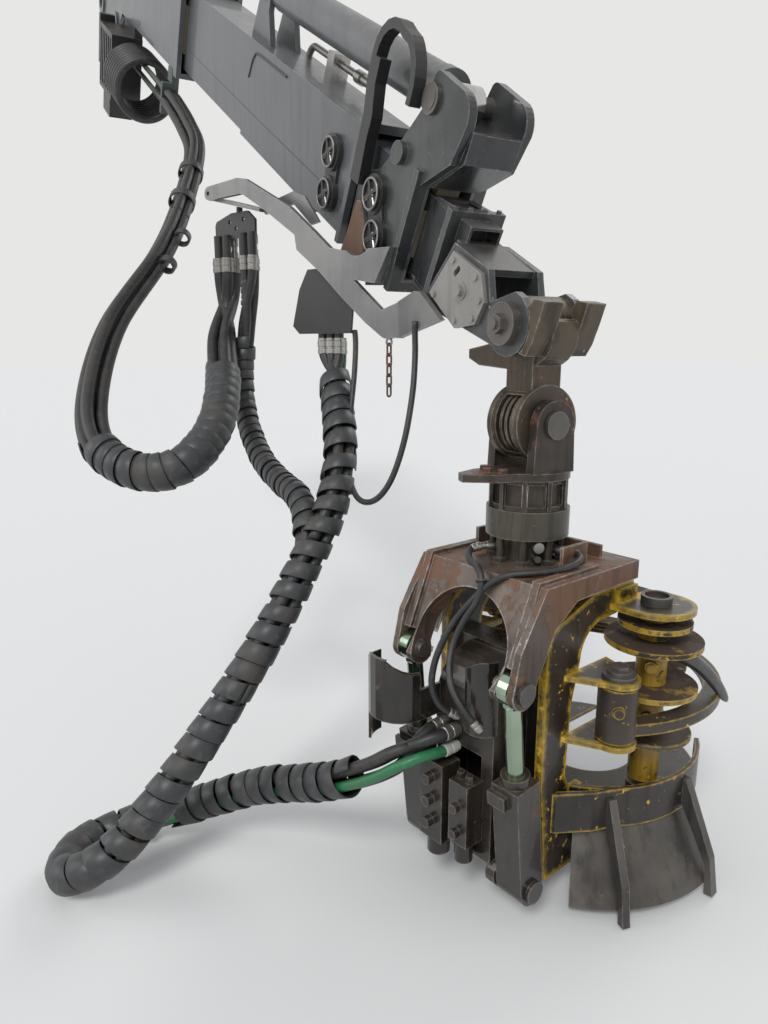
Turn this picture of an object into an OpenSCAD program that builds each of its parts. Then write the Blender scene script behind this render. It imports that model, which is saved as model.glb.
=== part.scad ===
// Telescopic jib end of a forestry harvester with its felling head.
// Millimetres, +Z up, +X from the jib's root pin towards its tip, origin on the root pin.

/* [Jib] */
// Slope of the jib below level, degrees
jib_slope = 30; // [27:1:33]
// Height of the jib's axis over the root pin, square to the jib
jib_rise = 270; // [262:2:290]
// Length of the outer sleeve ahead of the root pin
sleeve_reach = 2100; // [2000:50:2300]
// Length of the outer sleeve behind the root pin
sleeve_tail = 250; // [220:10:300]
// Outer width of the sleeve
sleeve_w = 290; // [280:2:300]
// Outer height of the sleeve
sleeve_h = 430; // [420:2:440]
// Wall of the sleeve
sleeve_wall = 10; // [8:1:12]
// Outer width of stage one
one_w = 230; // [224:2:236]
// Outer height of stage one
one_h = 370; // [362:2:378]
// Outer width of stage two
two_w = 172; // [168:2:176]
// Outer height of stage two
two_h = 310; // [302:2:316]
// Outer width of stage three
three_w = 116; // [110:2:120]
// Outer height of stage three
three_h = 250; // [244:2:256]
// Wall of the three sliding stages
stage_wall = 8; // [6:1:9]
// Length of stage one that stands out of the sleeve
one_out = 2150; // [2100:10:2250]
// Length of stage one left inside the sleeve
one_in = 600; // [560:10:700]
// Length of stage two left inside stage one
two_in = 1900; // [1850:10:1950]
// Length of stage three left inside stage two
three_in = 1700; // [1650:10:1750]
// Running clearance of a slide pad
pad_clear = 0.3; // [0.2:0.1:0.5]

/* [Telescope cylinder] */
// Height of the cylinder's axis over the jib's axis
cyl_rise = 372; // [366:2:380]
// Barrel diameter
cyl_d = 140; // [134:2:144]
// Barrel length
cyl_len = 1450; // [1440:10:1480]
// Rod diameter
cyl_rod_d = 70; // [60:2:76]

/* [Tip] */
// Distance from the end of stage one to the link pin
link_reach = 961; // [955:2:975]
// Height of the link pin over the ground that the head stands on
link_height = 1655; // [1650:5:1665]
// Radius of the link pin
link_pin_r = 32; // [28:1:34]
// Gap between the two cheeks that carry the link
link_gap = 152; // [148:1:156]
// Thickness of each of those cheeks
link_cheek = 22; // [18:1:25]
// Drop from the link pin to the cross pin
link_drop = 265; // [262:1:270]
// Radius of the cross pin
cross_pin_r = 25; // [22:1:28]

/* [Rotator] */
// Outer radius of the rotator's rings
rotator_r = 118; // [112:1:124]
// Height of the rotator's collar over the ground
collar_z = 1262; // [1258:1:1266]
// Thickness of the collar
collar_t = 22; // [18:1:24]
// Height of the cage with the windows
cage_h = 84; // [80:1:90]
// Height of the turning lower ring
turn_ring_h = 80; // [76:1:84]

/* [Tilt frame] */
// Turn of the head about the rotator's axis, degrees
head_turn = 10; // [6:1:14]
// Height of the frame's top face over the ground
frame_top = 1000; // [996:1:1004]
// Outer half width of the frame
frame_half = 230; // [226:1:236]
// Plate thickness of the frame
frame_t = 20; // [18:1:22]
// Distance of the tilt hinge behind the rotator's axis
hinge_y = 210; // [204:1:216]
// Height of the tilt hinge over the ground
hinge_z = 872; // [868:1:876]
// Distance of the tilt cylinders' upper pin ahead of the rotator's axis
eye_y = 265; // [260:1:270]
// Height of that pin over the ground
eye_z = 738; // [734:1:742]

/* [Head] */
// Outer half width of the head's side plates
side_half = 200; // [198:1:202]
// Thickness of the side plates
side_t = 25; // [20:1:26]
// Distance of the stem's axis behind the rotator's axis
stem_y = 310; // [305:1:315]
// Radius of the saw pan
pan_r = 380; // [376:1:386]
// Height of the saw pan's floor over the ground
pan_z = 240; // [236:1:244]
// Height of the saw pan's rim
rim_h = 110; // [100:2:116]
// Radius of the gathering arms' pins
arm_pin_r = 22; // [20:1:24]

/* [Hidden] */
$fn = 48;

steel = "#5d6164";
dark = "#26282a";
rust = "#7a5a48";
yellow = "#c8960f";
chrome = "#d8dadd";
rubber = "#2c2f31";
seat = 0.3;            // running gap at a seat or hinge face
pin_fit = 0.05;        // radial running fit at a pin

// Jib, measured along its axis from the root pin
one_end = sleeve_reach + one_out;
two_start = one_end + 25;
ring_at = one_end + 400;
link_u = one_end + link_reach;
root_boss_r = 80;
root_bore_r = 45;
crank_u = 480;
crank_w = -300;
crank_bore_r = 35;
inner_w = sleeve_w - 2 * sleeve_wall;
inner_h = sleeve_h - 2 * sleeve_wall;
one_iw = one_w - 2 * stage_wall;
one_ih = one_h - 2 * stage_wall;
two_iw = two_w - 2 * stage_wall;
two_ih = two_h - 2 * stage_wall;

// Link pin and the ground below it
link_x = link_u * cos(jib_slope) + jib_rise * sin(jib_slope);
link_z = jib_rise * cos(jib_slope) - link_u * sin(jib_slope);
ground_z = link_z - link_height;
cross_z = link_height - link_drop;

module on_jib() rotate([0, jib_slope, 0]) translate([0, 0, jib_rise]) children();
module at_foot() translate([link_x, 0, ground_z]) children();
module at_head() at_foot() rotate([0, 0, head_turn]) children();
module far_too() { children(); mirror([0, 1, 0]) children(); }
module both_sides() { children(); mirror([1, 0, 0]) children(); }

// Plate drawn in the X-Z plane, between y and y + t
module plate_xz(y, t) translate([0, y + t, 0]) rotate([90, 0, 0]) linear_extrude(t) children();
// Plate drawn in the Y-Z plane, between x and x + t
module plate_yz(x, t) translate([x, 0, 0]) rotate([90, 0, 90]) linear_extrude(t) children();
module bar_y(r, y0, y1) translate([0, y0, 0]) rotate([-90, 0, 0]) cylinder(r = r, h = y1 - y0);
module bar_x(r, x0, x1) translate([x0, 0, 0]) rotate([0, 90, 0]) cylinder(r = r, h = x1 - x0);
// Box section with a wall, from u0 to u1
module section(u0, u1, w, h, wall) difference() {
    translate([u0, -w / 2, -h / 2]) cube([u1 - u0, w, h]);
    translate([u0 - 1, wall - w / 2, wall - h / 2]) cube([u1 - u0 + 2, w - 2 * wall, h - 2 * wall]);
}
// Corner arc of an outline: centre, radius and the two angles
function arc(c, r, a0, a1, n = 6) = [for (i = [0:n]) c + r * [cos(a0 + (a1 - a0) * i / n),
    sin(a0 + (a1 - a0) * i / n)]];

// Slide pads fill the gap on four sides of the member of size w x h
module pads(u0, u1, w, h, gap_w, gap_h, side = 1) {
    far_too() translate([u0, w / 2 + pad_clear, -h * 0.3]) cube([u1 - u0, gap_w - pad_clear, h * 0.6]);
    for (z = [h / 2 + pad_clear, -h / 2 - gap_h]) translate([u0, -w * 0.35, z]) cube([u1 - u0, w * 0.7,
        gap_h - pad_clear]);
}

module jib_sleeve() color(steel) on_jib() {
    collar = 60;
    collar_over = 15;
    section(-sleeve_tail, sleeve_reach - collar, sleeve_w, sleeve_h, sleeve_wall);
    section(sleeve_reach - collar, sleeve_reach, sleeve_w + 2 * collar_over, sleeve_h + 2 * collar_over,
            sleeve_wall + collar_over);
    translate([-sleeve_tail - sleeve_wall, -sleeve_w / 2, -sleeve_h / 2]) cube([sleeve_wall, sleeve_w,
        sleeve_h]);
}
// Lugs and cross tubes under the sleeve for the root pin and the crank's pin
lug_t = 22;
module root_lugs() color(steel) on_jib() difference() {
    union() {
        far_too() plate_xz(sleeve_w / 2 - lug_t, lug_t) polygon(concat(
            [[-sleeve_tail, -sleeve_h / 2], [-sleeve_tail, -jib_rise + 40]],
            arc([0, -jib_rise], root_boss_r, 200, 290),
            arc([crank_u, crank_w], 65, 270, 345),
            [[crank_u + 180, -sleeve_h / 2]]));
        translate([0, 0, -jib_rise]) bar_y(root_boss_r, -sleeve_w / 2 - 12, sleeve_w / 2 + 12);
        translate([crank_u, 0, crank_w]) bar_y(58, -sleeve_w / 2 - 12, sleeve_w / 2 + 12);
    }
    translate([0, 0, -jib_rise]) bar_y(root_bore_r, -sleeve_w, sleeve_w);
    translate([crank_u, 0, crank_w]) bar_y(crank_bore_r, -sleeve_w, sleeve_w);
    translate([-sleeve_tail - 1, -sleeve_w, -sleeve_h / 2]) cube([sleeve_reach, 2 * sleeve_w, sleeve_h]);
}

module sleeve_pads() color("#8a7a50") on_jib()
    for (u = [sleeve_reach - one_in + 60, sleeve_reach - 130])
        pads(u, u + 120, one_w, one_h, (inner_w - one_w) / 2, (inner_h - one_h) / 2);

// Box under the sleeve for the hose couplings, with its finned cover
box_u = 620;
box_len = 380;
box_y = -sleeve_w / 2 - 20;
box_w = -sleeve_h / 2 - 70;
module hose_box() color(dark) on_jib() {
    fins = 6;
    difference() {
        translate([box_u, box_y - 110, box_w - 380]) cube([box_len, 190, 380]);
        for (i = [0:fins - 1]) translate([box_u + 24 + i * 58, box_y - 111, box_w - 350]) cube([34, 14, 320]);
    }
    translate([box_u - 40, box_y - 110, box_w - 250]) cube([41, 110 - 16, 290]);
    // hanger plate under the sleeve, ahead of the lugs
    translate([box_u + 70, box_y + 30, box_w - 1]) cube([box_len - 80, 50, 71]);
    translate([box_u + 40, box_y - 90, box_w - 520]) cube([210, 150, 140]);
}

// Two pipes that run from the hose box to the sleeve's mouth
pipe_r = 15;
pipe_y = box_y + 5;
pipe_w = [box_w - 60, box_w - 125];
module feed_pipes() color(dark) on_jib() {
    far_end = sleeve_reach - 140;
    for (w = pipe_w) translate([box_u + box_len, pipe_y, w]) bar_x(pipe_r, 0, far_end - box_u - box_len);
    difference() {
        translate([far_end, pipe_y - 40, box_w - 160]) cube([30, 90, 160]);
        translate([far_end - 1, pipe_y, box_w - 92]) bar_x(10, 0, 32);
    }
    translate([far_end - 60, pipe_y + 10, box_w]) cube([90, 40, 70]);
}

// Supply hoses laid in loops round the two pipes
loop_r = 165;
loop_hose_r = 21;
loop_pitch = 2 * loop_hose_r + 4;
loops = 8;
coil_u = 1120;
module hose_coil() color(rubber) on_jib()
    for (i = [0:loops - 1]) translate([coil_u + i * loop_pitch, pipe_y,
        pipe_w[0] + pipe_r + seat - loop_r + loop_hose_r])
        rotate([0, 90, 0]) rotate_extrude($fn = 36) translate([loop_r, 0]) circle(r = loop_hose_r, $fn = 16);

module stage_one() color(steel) on_jib() {
    collar = 26;
    difference() {
        union() {
            section(sleeve_reach - one_in, one_end, one_w, one_h, stage_wall);
            section(one_end - collar, one_end, one_w + 36, one_h + 40, stage_wall + 18);
            // rail under the box and the foot of the steel pipe
            translate([one_end - 1180, -one_w / 2, -one_h / 2 - 16]) cube([900, 30, 16]);
            // ears for the cylinder's rear pin
            far_too() plate_xz(barrel_eye_w / 2 + seat, 24) polygon(concat(
                [[barrel_u - 110, one_h / 2], [barrel_u - 60, cyl_rise - 20]],
                arc([barrel_u, cyl_rise], 52, 150, 20),
                [[barrel_u + 56, cyl_rise - 20], [barrel_u + 56, cyl_rise - cyl_d / 2 - 4],
                 [barrel_u + 130, one_h / 2]]));
        }
        translate([barrel_u, 0, cyl_rise]) bar_y(barrel_pin_r + pin_fit, -one_w, one_w);
    }
}

module stage_one_pads() color("#8a7a50") on_jib()
    for (u = [one_end - 620, one_end - 250])
        pads(u, u + 120, two_w, two_h, (one_iw - two_w) / 2, (one_ih - two_h) / 2);

// Round pad adjuster: a boss with a stepped ring and a cross slot
adjuster_r = 52;
module adjuster(tall) difference() {
    union() {
        cylinder(r = adjuster_r + 10, h = tall - 12);
        cylinder(r = adjuster_r, h = tall);
    }
    translate([0, 0, tall - 8]) difference() {
        cylinder(r = adjuster_r - 8, h = 9);
        for (a = [0, 90]) rotate([0, 0, a + 40]) translate([-adjuster_r, -5, -1]) cube([2 * adjuster_r,
            10, 11]);
    }
}
// Two adjusters on one side, joined by their plate
module adjuster_pair(places, y, tall) {
    for (p = places) translate([p[0], -y, p[1]]) rotate([90, 0, 0]) adjuster(tall);
    step = places[1] - places[0];
    across = [-step[1], step[0]] / norm(step) * (adjuster_r - 6);
    plate_xz(-y - 12, 12) polygon([places[0] + across, places[1] + across, places[1] - across,
        places[0] - across]);
}

one_adjusters = [[one_end - 185, 48], [one_end - 160, -88]];
two_adjusters = [[one_end + 168, 35], [one_end + 235, -78]];
module stage_one_adjusters() color(dark) on_jib() far_too() {
    adjuster_pair(one_adjusters, one_w / 2, 34);
}
module tip_adjusters() color(dark) on_jib() far_too() {
    adjuster_pair(two_adjusters, cheek_y + cheek_t, 30);
}

// Telescope cylinder, over the jib
barrel_pin_r = 28;
barrel_eye_w = 90;
barrel_front = one_end + 252;
barrel_u = barrel_front - cyl_len;
rod_eye_u = one_end + 345;
barrel_wall = 14;
piston_r = cyl_d / 2 - barrel_wall - pin_fit;
module cylinder_barrel() color(steel) on_jib() translate([0, 0, cyl_rise]) {
    gland = 46;
    difference() {
        union() {
            bar_x(cyl_d / 2, barrel_u + 60, barrel_front - gland);
            bar_x(cyl_d / 2 + 4, barrel_front - gland, barrel_front);
            bar_x(44, barrel_u, barrel_u + 60);
            translate([barrel_u, 0, 0]) bar_y(50, -barrel_eye_w / 2, barrel_eye_w / 2);
        }
        bar_x(cyl_d / 2 - barrel_wall, barrel_u + 90, barrel_front - gland);
        bar_x(cyl_rod_d / 2 + pin_fit, barrel_u + 90, barrel_front + 1);
        translate([barrel_u, 0, 0]) bar_y(barrel_pin_r + pin_fit, -one_w, one_w);
    }
}
module barrel_pin() color(chrome) on_jib() translate([barrel_u, 0, cyl_rise]) {
    bar_y(barrel_pin_r, -barrel_eye_w / 2 - 30, barrel_eye_w / 2 + 30);
    far_too() bar_y(barrel_pin_r + 10, barrel_eye_w / 2 + 24 + 2 * seat, barrel_eye_w / 2 + 34);
}
rod_eye_w = 70;
rod_pin_r = 30;
module cylinder_rod() color(chrome) on_jib() translate([0, 0, cyl_rise]) difference() {
    union() {
        bar_x(cyl_rod_d / 2, barrel_u + 130, rod_eye_u);
        bar_x(piston_r, barrel_u + 120, barrel_u + 180);
        translate([rod_eye_u, 0, 0]) bar_y(54, -rod_eye_w / 2, rod_eye_w / 2);
    }
    translate([rod_eye_u, 0, 0]) bar_y(rod_pin_r + pin_fit, -one_w, one_w);
}
module rod_pin() color(chrome) on_jib() translate([rod_eye_u, 0, cyl_rise]) {
    bar_y(rod_pin_r, -cheek_y - cheek_t - 14, cheek_y + cheek_t + 14);
    far_too() bar_y(rod_pin_r + 12, cheek_y + cheek_t + seat, cheek_y + cheek_t + 12);
}

// Steel supply pipe on top of stage one, with its clamp block and coupling
module steel_pipe() color("#7d8083") on_jib() {
    top = one_h / 2;
    y = 62;
    translate([one_end - 900, y, top]) {
        rotate([0, -90, 90]) rotate_extrude(angle = 90, $fn = 48) translate([60, 0]) circle(r = 14, $fn = 16);
    }
    translate([one_end - 900, y, top + 60]) bar_x(14, 0, 420);
    translate([one_end - 700, y - 36, top]) cube([60, 72, 92]);
    translate([one_end - 480, y, top + 60]) bar_x(24, 0, 46);
    translate([one_end - 434, y, top + 60]) bar_x(18, 0, 70);
}

// Stage two: box inside stage one, open at both ends
module stage_two() color(steel) on_jib() section(one_end - two_in, ring_at, two_w, two_h, stage_wall);
module stage_two_pads() color("#8a7a50") on_jib()
    for (u = [one_end - 300, ring_at - 90])
        pads(u, u + 80, three_w, three_h, (two_iw - three_w) / 2, (two_ih - three_h) / 2);

// Tip bracket: two cheeks either side of stage two that rise to the rod's pin
cheek_y = two_w / 2;
cheek_t = 28;
ring_t = 26;
module tip_cheek() polygon(concat(
    [[25, -two_h / 2 + 10]],
    arc([190, -100], 62, 235, 300),
    arc([330, -60], 60, 300, 350),
    [[400, 60], [400, 150], [520, 250]],
    arc([470, 360], 74, 0, 75),
    arc([350, 420], 26, 80, 150),
    [[300, 330], [210, 190], [150, 110], [25, 60]]));
module tip_bracket() color(steel) on_jib() difference() {
    union() {
        far_too() translate([one_end, 0, 0]) plate_xz(cheek_y, cheek_t) tip_cheek();
        far_too() translate([one_end + 256, cheek_y + cheek_t, 194]) bar_y(34, 0, 22);
        // web across the top and front of the cheeks
        plate_xz(-cheek_y, 2 * cheek_y) translate([one_end, 0]) polygon([
            [398, two_h / 2], [424, two_h / 2], [545, 262], [545, 345], [524, 345], [524, 270]]);
        // square mouth ring round the end of stage two
        section(ring_at - ring_t, ring_at, two_w + 90, two_h + 70, 35 + 9.5);
        for (y = [-98, -40, 40, 98]) translate([ring_at - ring_t / 2, y,
            two_h / 2 + 34]) cylinder(r = 9, h = 12, $fn = 6);
    }
    translate([rod_eye_u, 0, cyl_rise]) bar_y(rod_pin_r + pin_fit, -one_w, one_w);
    translate([ring_at - 60, -two_w / 2, -two_h / 2]) cube([80, two_w, two_h]);
}

// Bent flat bar that guards the cylinder's head and the hoses over it
module hose_arch() color(rust) on_jib() {
    y = -cheek_y - cheek_t - seat - 40;
    plate_xz(y, 40) translate([one_end, 0]) difference() {
        polygon(concat([[30, 36], [94, 36], [84, 180], [88, 240], [62, 330]], [[62, 400]],
            arc([120, 400], 90, 180, 60), arc([140, 360], 128, 60, 8), [[268, 330], [292, 330]],
            arc([140, 362], 152, 8, 62), arc([118, 402], 116, 62, 180), [[2, 400], [4, 330], [28, 240]]));
    }
}

// Guide arm that carries the hose hangers: a flat bar folded at the bracket and splayed out from it
arm_t = 20;
arm_splay = 19;
arm_y = -cheek_y - cheek_t - seat - arm_t / 2;
arm_fold = -500;
plate_gap = 12;
// Heights of the guide arm, hangers and hoses are written with the link pin at this level
pin_level = 1655;
module at_link() translate([link_x, 0, link_z - pin_level]) children();
module on_arm() at_link() translate([arm_fold, arm_y, 0]) rotate([0, 0, arm_splay]) children();
module guide_arm() color("#777a7c") difference() {
    union() {
        on_arm() {
            plate_xz(-arm_t / 2, arm_t) polygon(concat(
                [[-790, 2207], [-744, 2198], [-504, 2074], [-380, 1979], [-309, 1922], [-250, 1908],
                    [-20, 1903],
                 [-20, 1783], [-200, 1812], [-75, 1712], [4, 1736], [4, 1622]],
                arc([-50, 1672], 52, 290, 232, 5),
                [[-150, 1675], [-264, 1766], [-359, 1847], [-473, 1928], [-482, 1979], [-639, 2078],
                    [-755, 2143],
                 [-778, 2150]],
                arc([-968, 2174], 25, 260, 90, 6)));
            // sheet behind the bar's tip that the rear hanger hangs from
            plate_xz(arm_t / 2 - 1, 110) polygon([[sheet_s[0], sheet_z[0] + 14], [sheet_s[1],
                sheet_z[1] + 12],
                [sheet_s[1], sheet_z[1]], [sheet_s[0], sheet_z[0]]]);
            plate_xz(arm_t / 2 + 50, 12) polygon([[-720, 2096], [-640, 2128], [-560, 2142], [-500, 2118],
                [-430, 2025], [-470, 2019], [-560, 2100], [-640, 2084], [-720, 2080]]);
            // eye for the chain
            plate_xz(-2, 4) difference() {
                translate([-50, eye_low]) circle(r = 14);
                translate([-50, eye_low]) circle(r = 8);
            }
        }
        at_link() {
            plate_xz(arm_y - arm_t / 2, arm_t) polygon([[arm_fold - 5, 1735], [-409, 1762], [-378,
                1758], [-266, 1672],
                [arm_fold - 5, 1622]]);
            plate_xz(arm_y - arm_t / 2, arm_t) polygon([[-720, 1800], [-505, 1785], [-505, 1902],
                [-600, 1900],
                [-640, 1884], [-720, 1882]]);
            // rusty wedge between the two pairs of adjusters
            plate_xz(arm_y - arm_t / 2, arm_t) polygon([[-775, 2079], [-748, 2073], [-722, 1990],
                [-735, 1868],
                [-905, 1868], [-909, 1923]]);
            // sheet that ties the wedge and the pad to the bar
            translate([0, 0, 1864]) linear_extrude(12) polygon([[-520, arm_y - 10], [-520, arm_y + 10],
                [-905, arm_y + 10], [-905, arm_y - 100], [-800, arm_y - 112], [-700, arm_y - 78]]);
        }
    }
    on_jib() for (p = two_adjusters) translate([p[0], 0, p[1]]) bar_y(adjuster_r + 12, -one_w, 0);
    on_jib() translate([ring_at - ring_t - seat, -one_w, -two_h / 2 - 35 - seat]) cube([ring_t + 70,
        one_w, two_h / 2]);
    on_arm() translate([-970, 0, 2174]) bar_y(9, -one_w, one_w);
}

// Hanger plates with their rows of bulkhead couplings
rear_at = -868;
rear_y = 60;
rear_top = 2104;
sheet_s = [-985, -690];
sheet_z = [2154, 2080];
rear_bolt_r = 12;
bundle_z = 1940;
module rear_hanger() color(dark) on_arm() {
    difference() {
        plate_xz(rear_y - 6, 12) polygon([[rear_at - 46, rear_top], [rear_at + 52, rear_top],
            [rear_at + 94, 2070],
            [rear_at + 92, 2010], [rear_at - 150, 2010], [rear_at - 150, 2064], [rear_at - 142, 2080]]);
        for (p = [[-58, 2072], [26, 2076], [-20, 2046]]) translate([rear_at + p[0], 0, p[1]]) bar_y(9,
            0, 120);
    }
    translate([rear_at, rear_y, rear_top - 1]) cylinder(r = rear_bolt_r, h = rear_bolt_end - rear_top + 1);
    for (s = [-124, -72, 32, 84]) translate([rear_at + s, rear_y - 14, bundle_z]) cylinder(r = 17, h = 84);
}
// The bolt ends under the sloped sheet
rear_bolt_end = sheet_z[0] - seat + (sheet_z[1] - sheet_z[0]) * (rear_at + rear_bolt_r - sheet_s[0])
    / (sheet_s[1] - sheet_s[0]);
front_at = -352;
front_z = 1625;
module front_hanger() color(dark) on_arm() {
    low = arm_t / 2 + seat;
    plate_xz(low, plate_gap) polygon([[-441, 1861], [-345, 1861], [-236, 1775], [-226, 1730], [-236, 1640],
        [-490, 1640], [-523, 1668], [-485, 1794]]);
    for (i = [-1:1]) translate([front_at + i * 40, low + plate_gap + 12, front_z]) cylinder(r = 17, h = 110);
}

// Short chain hung from the guide arm's eye
link_wire = 3.4;
link_bend = 9;
link_half = 11;
eye_low = 1610;
link_pitch = 2 * (link_half + link_bend) - 2 * link_wire - seat;
module chain_link() rotate([90, 0, 0]) {
    for (a = [0, 180]) rotate([0, 0, a]) translate([0, link_half]) rotate_extrude(angle = 180, $fn = 24)
        translate([link_bend, 0]) circle(r = link_wire, $fn = 10);
    for (x = [-link_bend, link_bend]) translate([x, -link_half - 0.2, 0]) rotate([-90, 0, 0])
        cylinder(r = link_wire, h = 2 * link_half + 0.4, $fn = 10);
}
module lifting_chain() color(rust) on_arm()
    translate([-50, 0, eye_low - 8 + link_wire + seat + 0.2 - link_half - link_bend])
        for (i = [0:4]) translate([0, 0, -i * link_pitch]) rotate([0, 0, 90 + i * 90]) chain_link();

// Stage three ends in the fork that carries the link
fork_in = link_gap / 2;
module fork_cheek() polygon(concat(
    [[555 - link_reach, -148], [632 - link_reach, 78], [-150, 82], [-96, 14]],
    arc([0, 0], 86, 100, -110, 10)));
module stage_three() color(steel) on_jib() difference() {
    union() {
        section(one_end - three_in, link_u - 330, three_w, three_h, stage_wall);
        translate([link_u, 0, 0]) far_too() plate_xz(fork_in, link_cheek) fork_cheek();
        // tapered casting with a sunk panel on each side, and the bolted flange in front of it
        for (a = [0, 180]) rotate([a, 0, 0]) difference() {
            translate([0, three_w, 0]) rotate([90, 0, 0]) linear_extrude(2 * three_w) polygon([
                [one_end + 414, three_h / 2 - 1], [one_end + 440, three_h / 2 + 12], [one_end + 560,
                    three_h / 2 + 22],
                [one_end + 560, three_h / 2 - 1]]);
            far_too() translate([0, three_w / 2 + 6, 0]) cube([2 * one_end, three_w, three_h]);
            translate([one_end + 462, -32, three_h / 2 + 8]) cube([74, 64, 30]);
        }
        far_too() translate([0, 0, -three_h / 2]) linear_extrude(three_h) polygon([[one_end + 414,
            three_w / 2 - 1],
            [one_end + 440, three_w / 2 + 6], [one_end + 560, fork_in + 6], [one_end + 560,
                three_w / 2 - 1]]);
        translate([one_end + 548, -fork_in - link_cheek, -three_h / 2 - 22]) cube([24,
            2 * (fork_in + link_cheek),
            three_h + 44]);
        for (y = [-78, -26, 26, 78]) for (z = [-three_h / 2 - 30, three_h / 2 + 21])
            translate([one_end + 560, y, z]) cylinder(r = 8, h = 9, $fn = 6);
        // rear wall and roof of the fork
        translate([link_u - 352, -fork_in, -three_h / 2]) cube([22, 2 * fork_in, three_h / 2 + 78]);
        translate([link_u - 330, -fork_in, 58]) cube([170, 2 * fork_in, 20]);
    }
    translate([link_u, 0, 0]) bar_y(link_pin_r + pin_fit, -one_w, one_w);
}
// Bolted covers over the link brake, one on each cheek
cover_bolts = [[-334, -84], [-292, 42], [-172, 47], [-124, 2], [-128, -54], [-200, -98]];
module brake_covers() color("#6f6a60") on_jib() translate([link_u, 0, 0]) far_too() difference() {
    union() {
        plate_xz(fork_in + link_cheek, 14) polygon([[-360, -92], [-306, 62], [-158, 66], [-104, 6],
            [-110, -62], [-190, -118]]);
        for (p = cover_bolts) translate([p[0], 0, p[1]]) bar_y(9, fork_in + link_cheek + 13,
            fork_in + link_cheek + 20);
        translate([-214, 0, -14]) {
            bar_y(24, fork_in + link_cheek + 13, fork_in + link_cheek + 18);
            bar_y(15, fork_in + link_cheek + 17, fork_in + link_cheek + 32);
        }
    }
    for (p = [[-262, 22], [-258, 30], [-266, 14]]) translate([p[0], 0, p[1]]) bar_y(9, 0, one_w);
}
module link_pin() color(chrome) on_jib() translate([link_u, 0, 0]) {
    over = fork_in + link_cheek;
    bar_y(link_pin_r, -over - 20, over + 20);
    far_too() bar_y(56, over + seat, over + 26);
    far_too() translate([0, over + 25, 0]) rotate([-90, 0, 0]) cylinder(r = 27, h = 19, $fn = 6);
    far_too() bar_y(14, over + 43, over + 52);
}

// Link that hangs from the link pin and carries the cross pin
hub_half = fork_in - 1;
brake_r = 100;
housing_half = 64;
module swing_link() color("#5a5550") at_foot() translate([0, 0, link_height]) difference() {
    union() {
        bar_y(74, -hub_half, hub_half);
        // bump horns either side of the hub
        plate_xz(-44, 88) polygon(concat(
            [[-240, -66], [-150, -52], [-60, -20], [60, -10], [100, 12], [118, 4]],
            arc([30, -20], 92, 0, -80), [[-60, -120], [-190, -112], [-240, -92]]));
        // pointed stop wings that lie against the fork's cheeks
        far_too() plate_xz(40, 66) polygon(concat(arc([0, 0], 97, -52, 22, 8),
            [[110, 58], [150, 50], [132, 2], [108, -54], [86, -84]]));
        // neck
        translate([-54, -50, -link_drop + 60]) cube([108, 100, link_drop - 90]);
        // brake housing round the cross pin
        translate([0, 0, -link_drop]) bar_x(brake_r, -housing_half, housing_half);
        for (x = [-housing_half, housing_half - 18]) translate([0, 0, -link_drop]) bar_x(brake_r + 6,
            x, x + 18);
    }
    bar_y(link_pin_r + pin_fit, -one_w, one_w);
    translate([0, 0, -link_drop]) bar_x(cross_pin_r + pin_fit, -one_w, one_w);
    // window that shows the brake discs
    translate([-34, -brake_r - 1, -link_drop - 78]) cube([68, brake_r + 1 - 35, 156]);
}
module brake_discs() color("#8b6a50") at_foot() translate([0, 0, cross_z]) intersection() {
    for (i = [-1:1]) bar_x(brake_r - 8, i * 22 - 5, i * 22 + 5);
    translate([-32, -brake_r, -76]) cube([64, brake_r - 35 - seat, 152]);
}
module cross_pin() color(chrome) at_foot() translate([0, 0, cross_z]) {
    over = housing_half + 6 + stator_cheek;
    bar_x(cross_pin_r, -over - 8, over + 8);
    both_sides() bar_x(38, over + seat, over + 10);
}

// Rotator: two cheeks on a collar, then the cage with its windows
stator_cheek = 30;
cage_low = collar_z - collar_t - cage_h;
module rotator_body() color("#5c5248") at_foot() {
    cheek_h = cross_z - collar_z;
    windows = 10;
    difference() {
        union() {
            translate([0, 0, collar_z - collar_t]) cylinder(r = rotator_r - 4, h = collar_t);
            both_sides() plate_yz(housing_half + 6, stator_cheek) polygon(concat(
                [[-72, collar_z - 2]], arc([0, cross_z], 66, 180, 0, 10), [[72, collar_z - 2]]));
            // beak that keeps the hoses off the swing
            translate([0, 0, collar_z - collar_t]) linear_extrude(collar_t) polygon(
                [[-70, -60], [70, -60], [58, -150], [0, -232], [-36, -220], [-64, -150]]);
            for (p = [[-40, -128], [40, -128], [0, -150]]) translate([p[0], p[1], collar_z - 1])
                cylinder(r = 13, h = 13, $fn = 6);
            translate([0, 0, cage_low]) cylinder(r = rotator_r - 14, h = cage_h);
            for (i = [0:windows - 1]) rotate([0, 0, (i + 0.5) * 360 / windows + 8])
                translate([rotator_r - 20, -6, cage_low]) cube([14, 12, cage_h]);
        }
        translate([0, 0, cross_z]) bar_x(cross_pin_r + pin_fit, -one_w, one_w);
        for (i = [0:windows - 1]) rotate([0, 0, i * 360 / windows + 8])
            translate([rotator_r - 26, -24, cage_low + 12]) cube([20, 48, cage_h - 24]);
        translate([0, 0, cage_low - 1]) cylinder(r = 50 + pin_fit, h = cage_h - 10);
    }
}
ring_top = cage_low - seat;
ring_low = ring_top - turn_ring_h;
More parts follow.
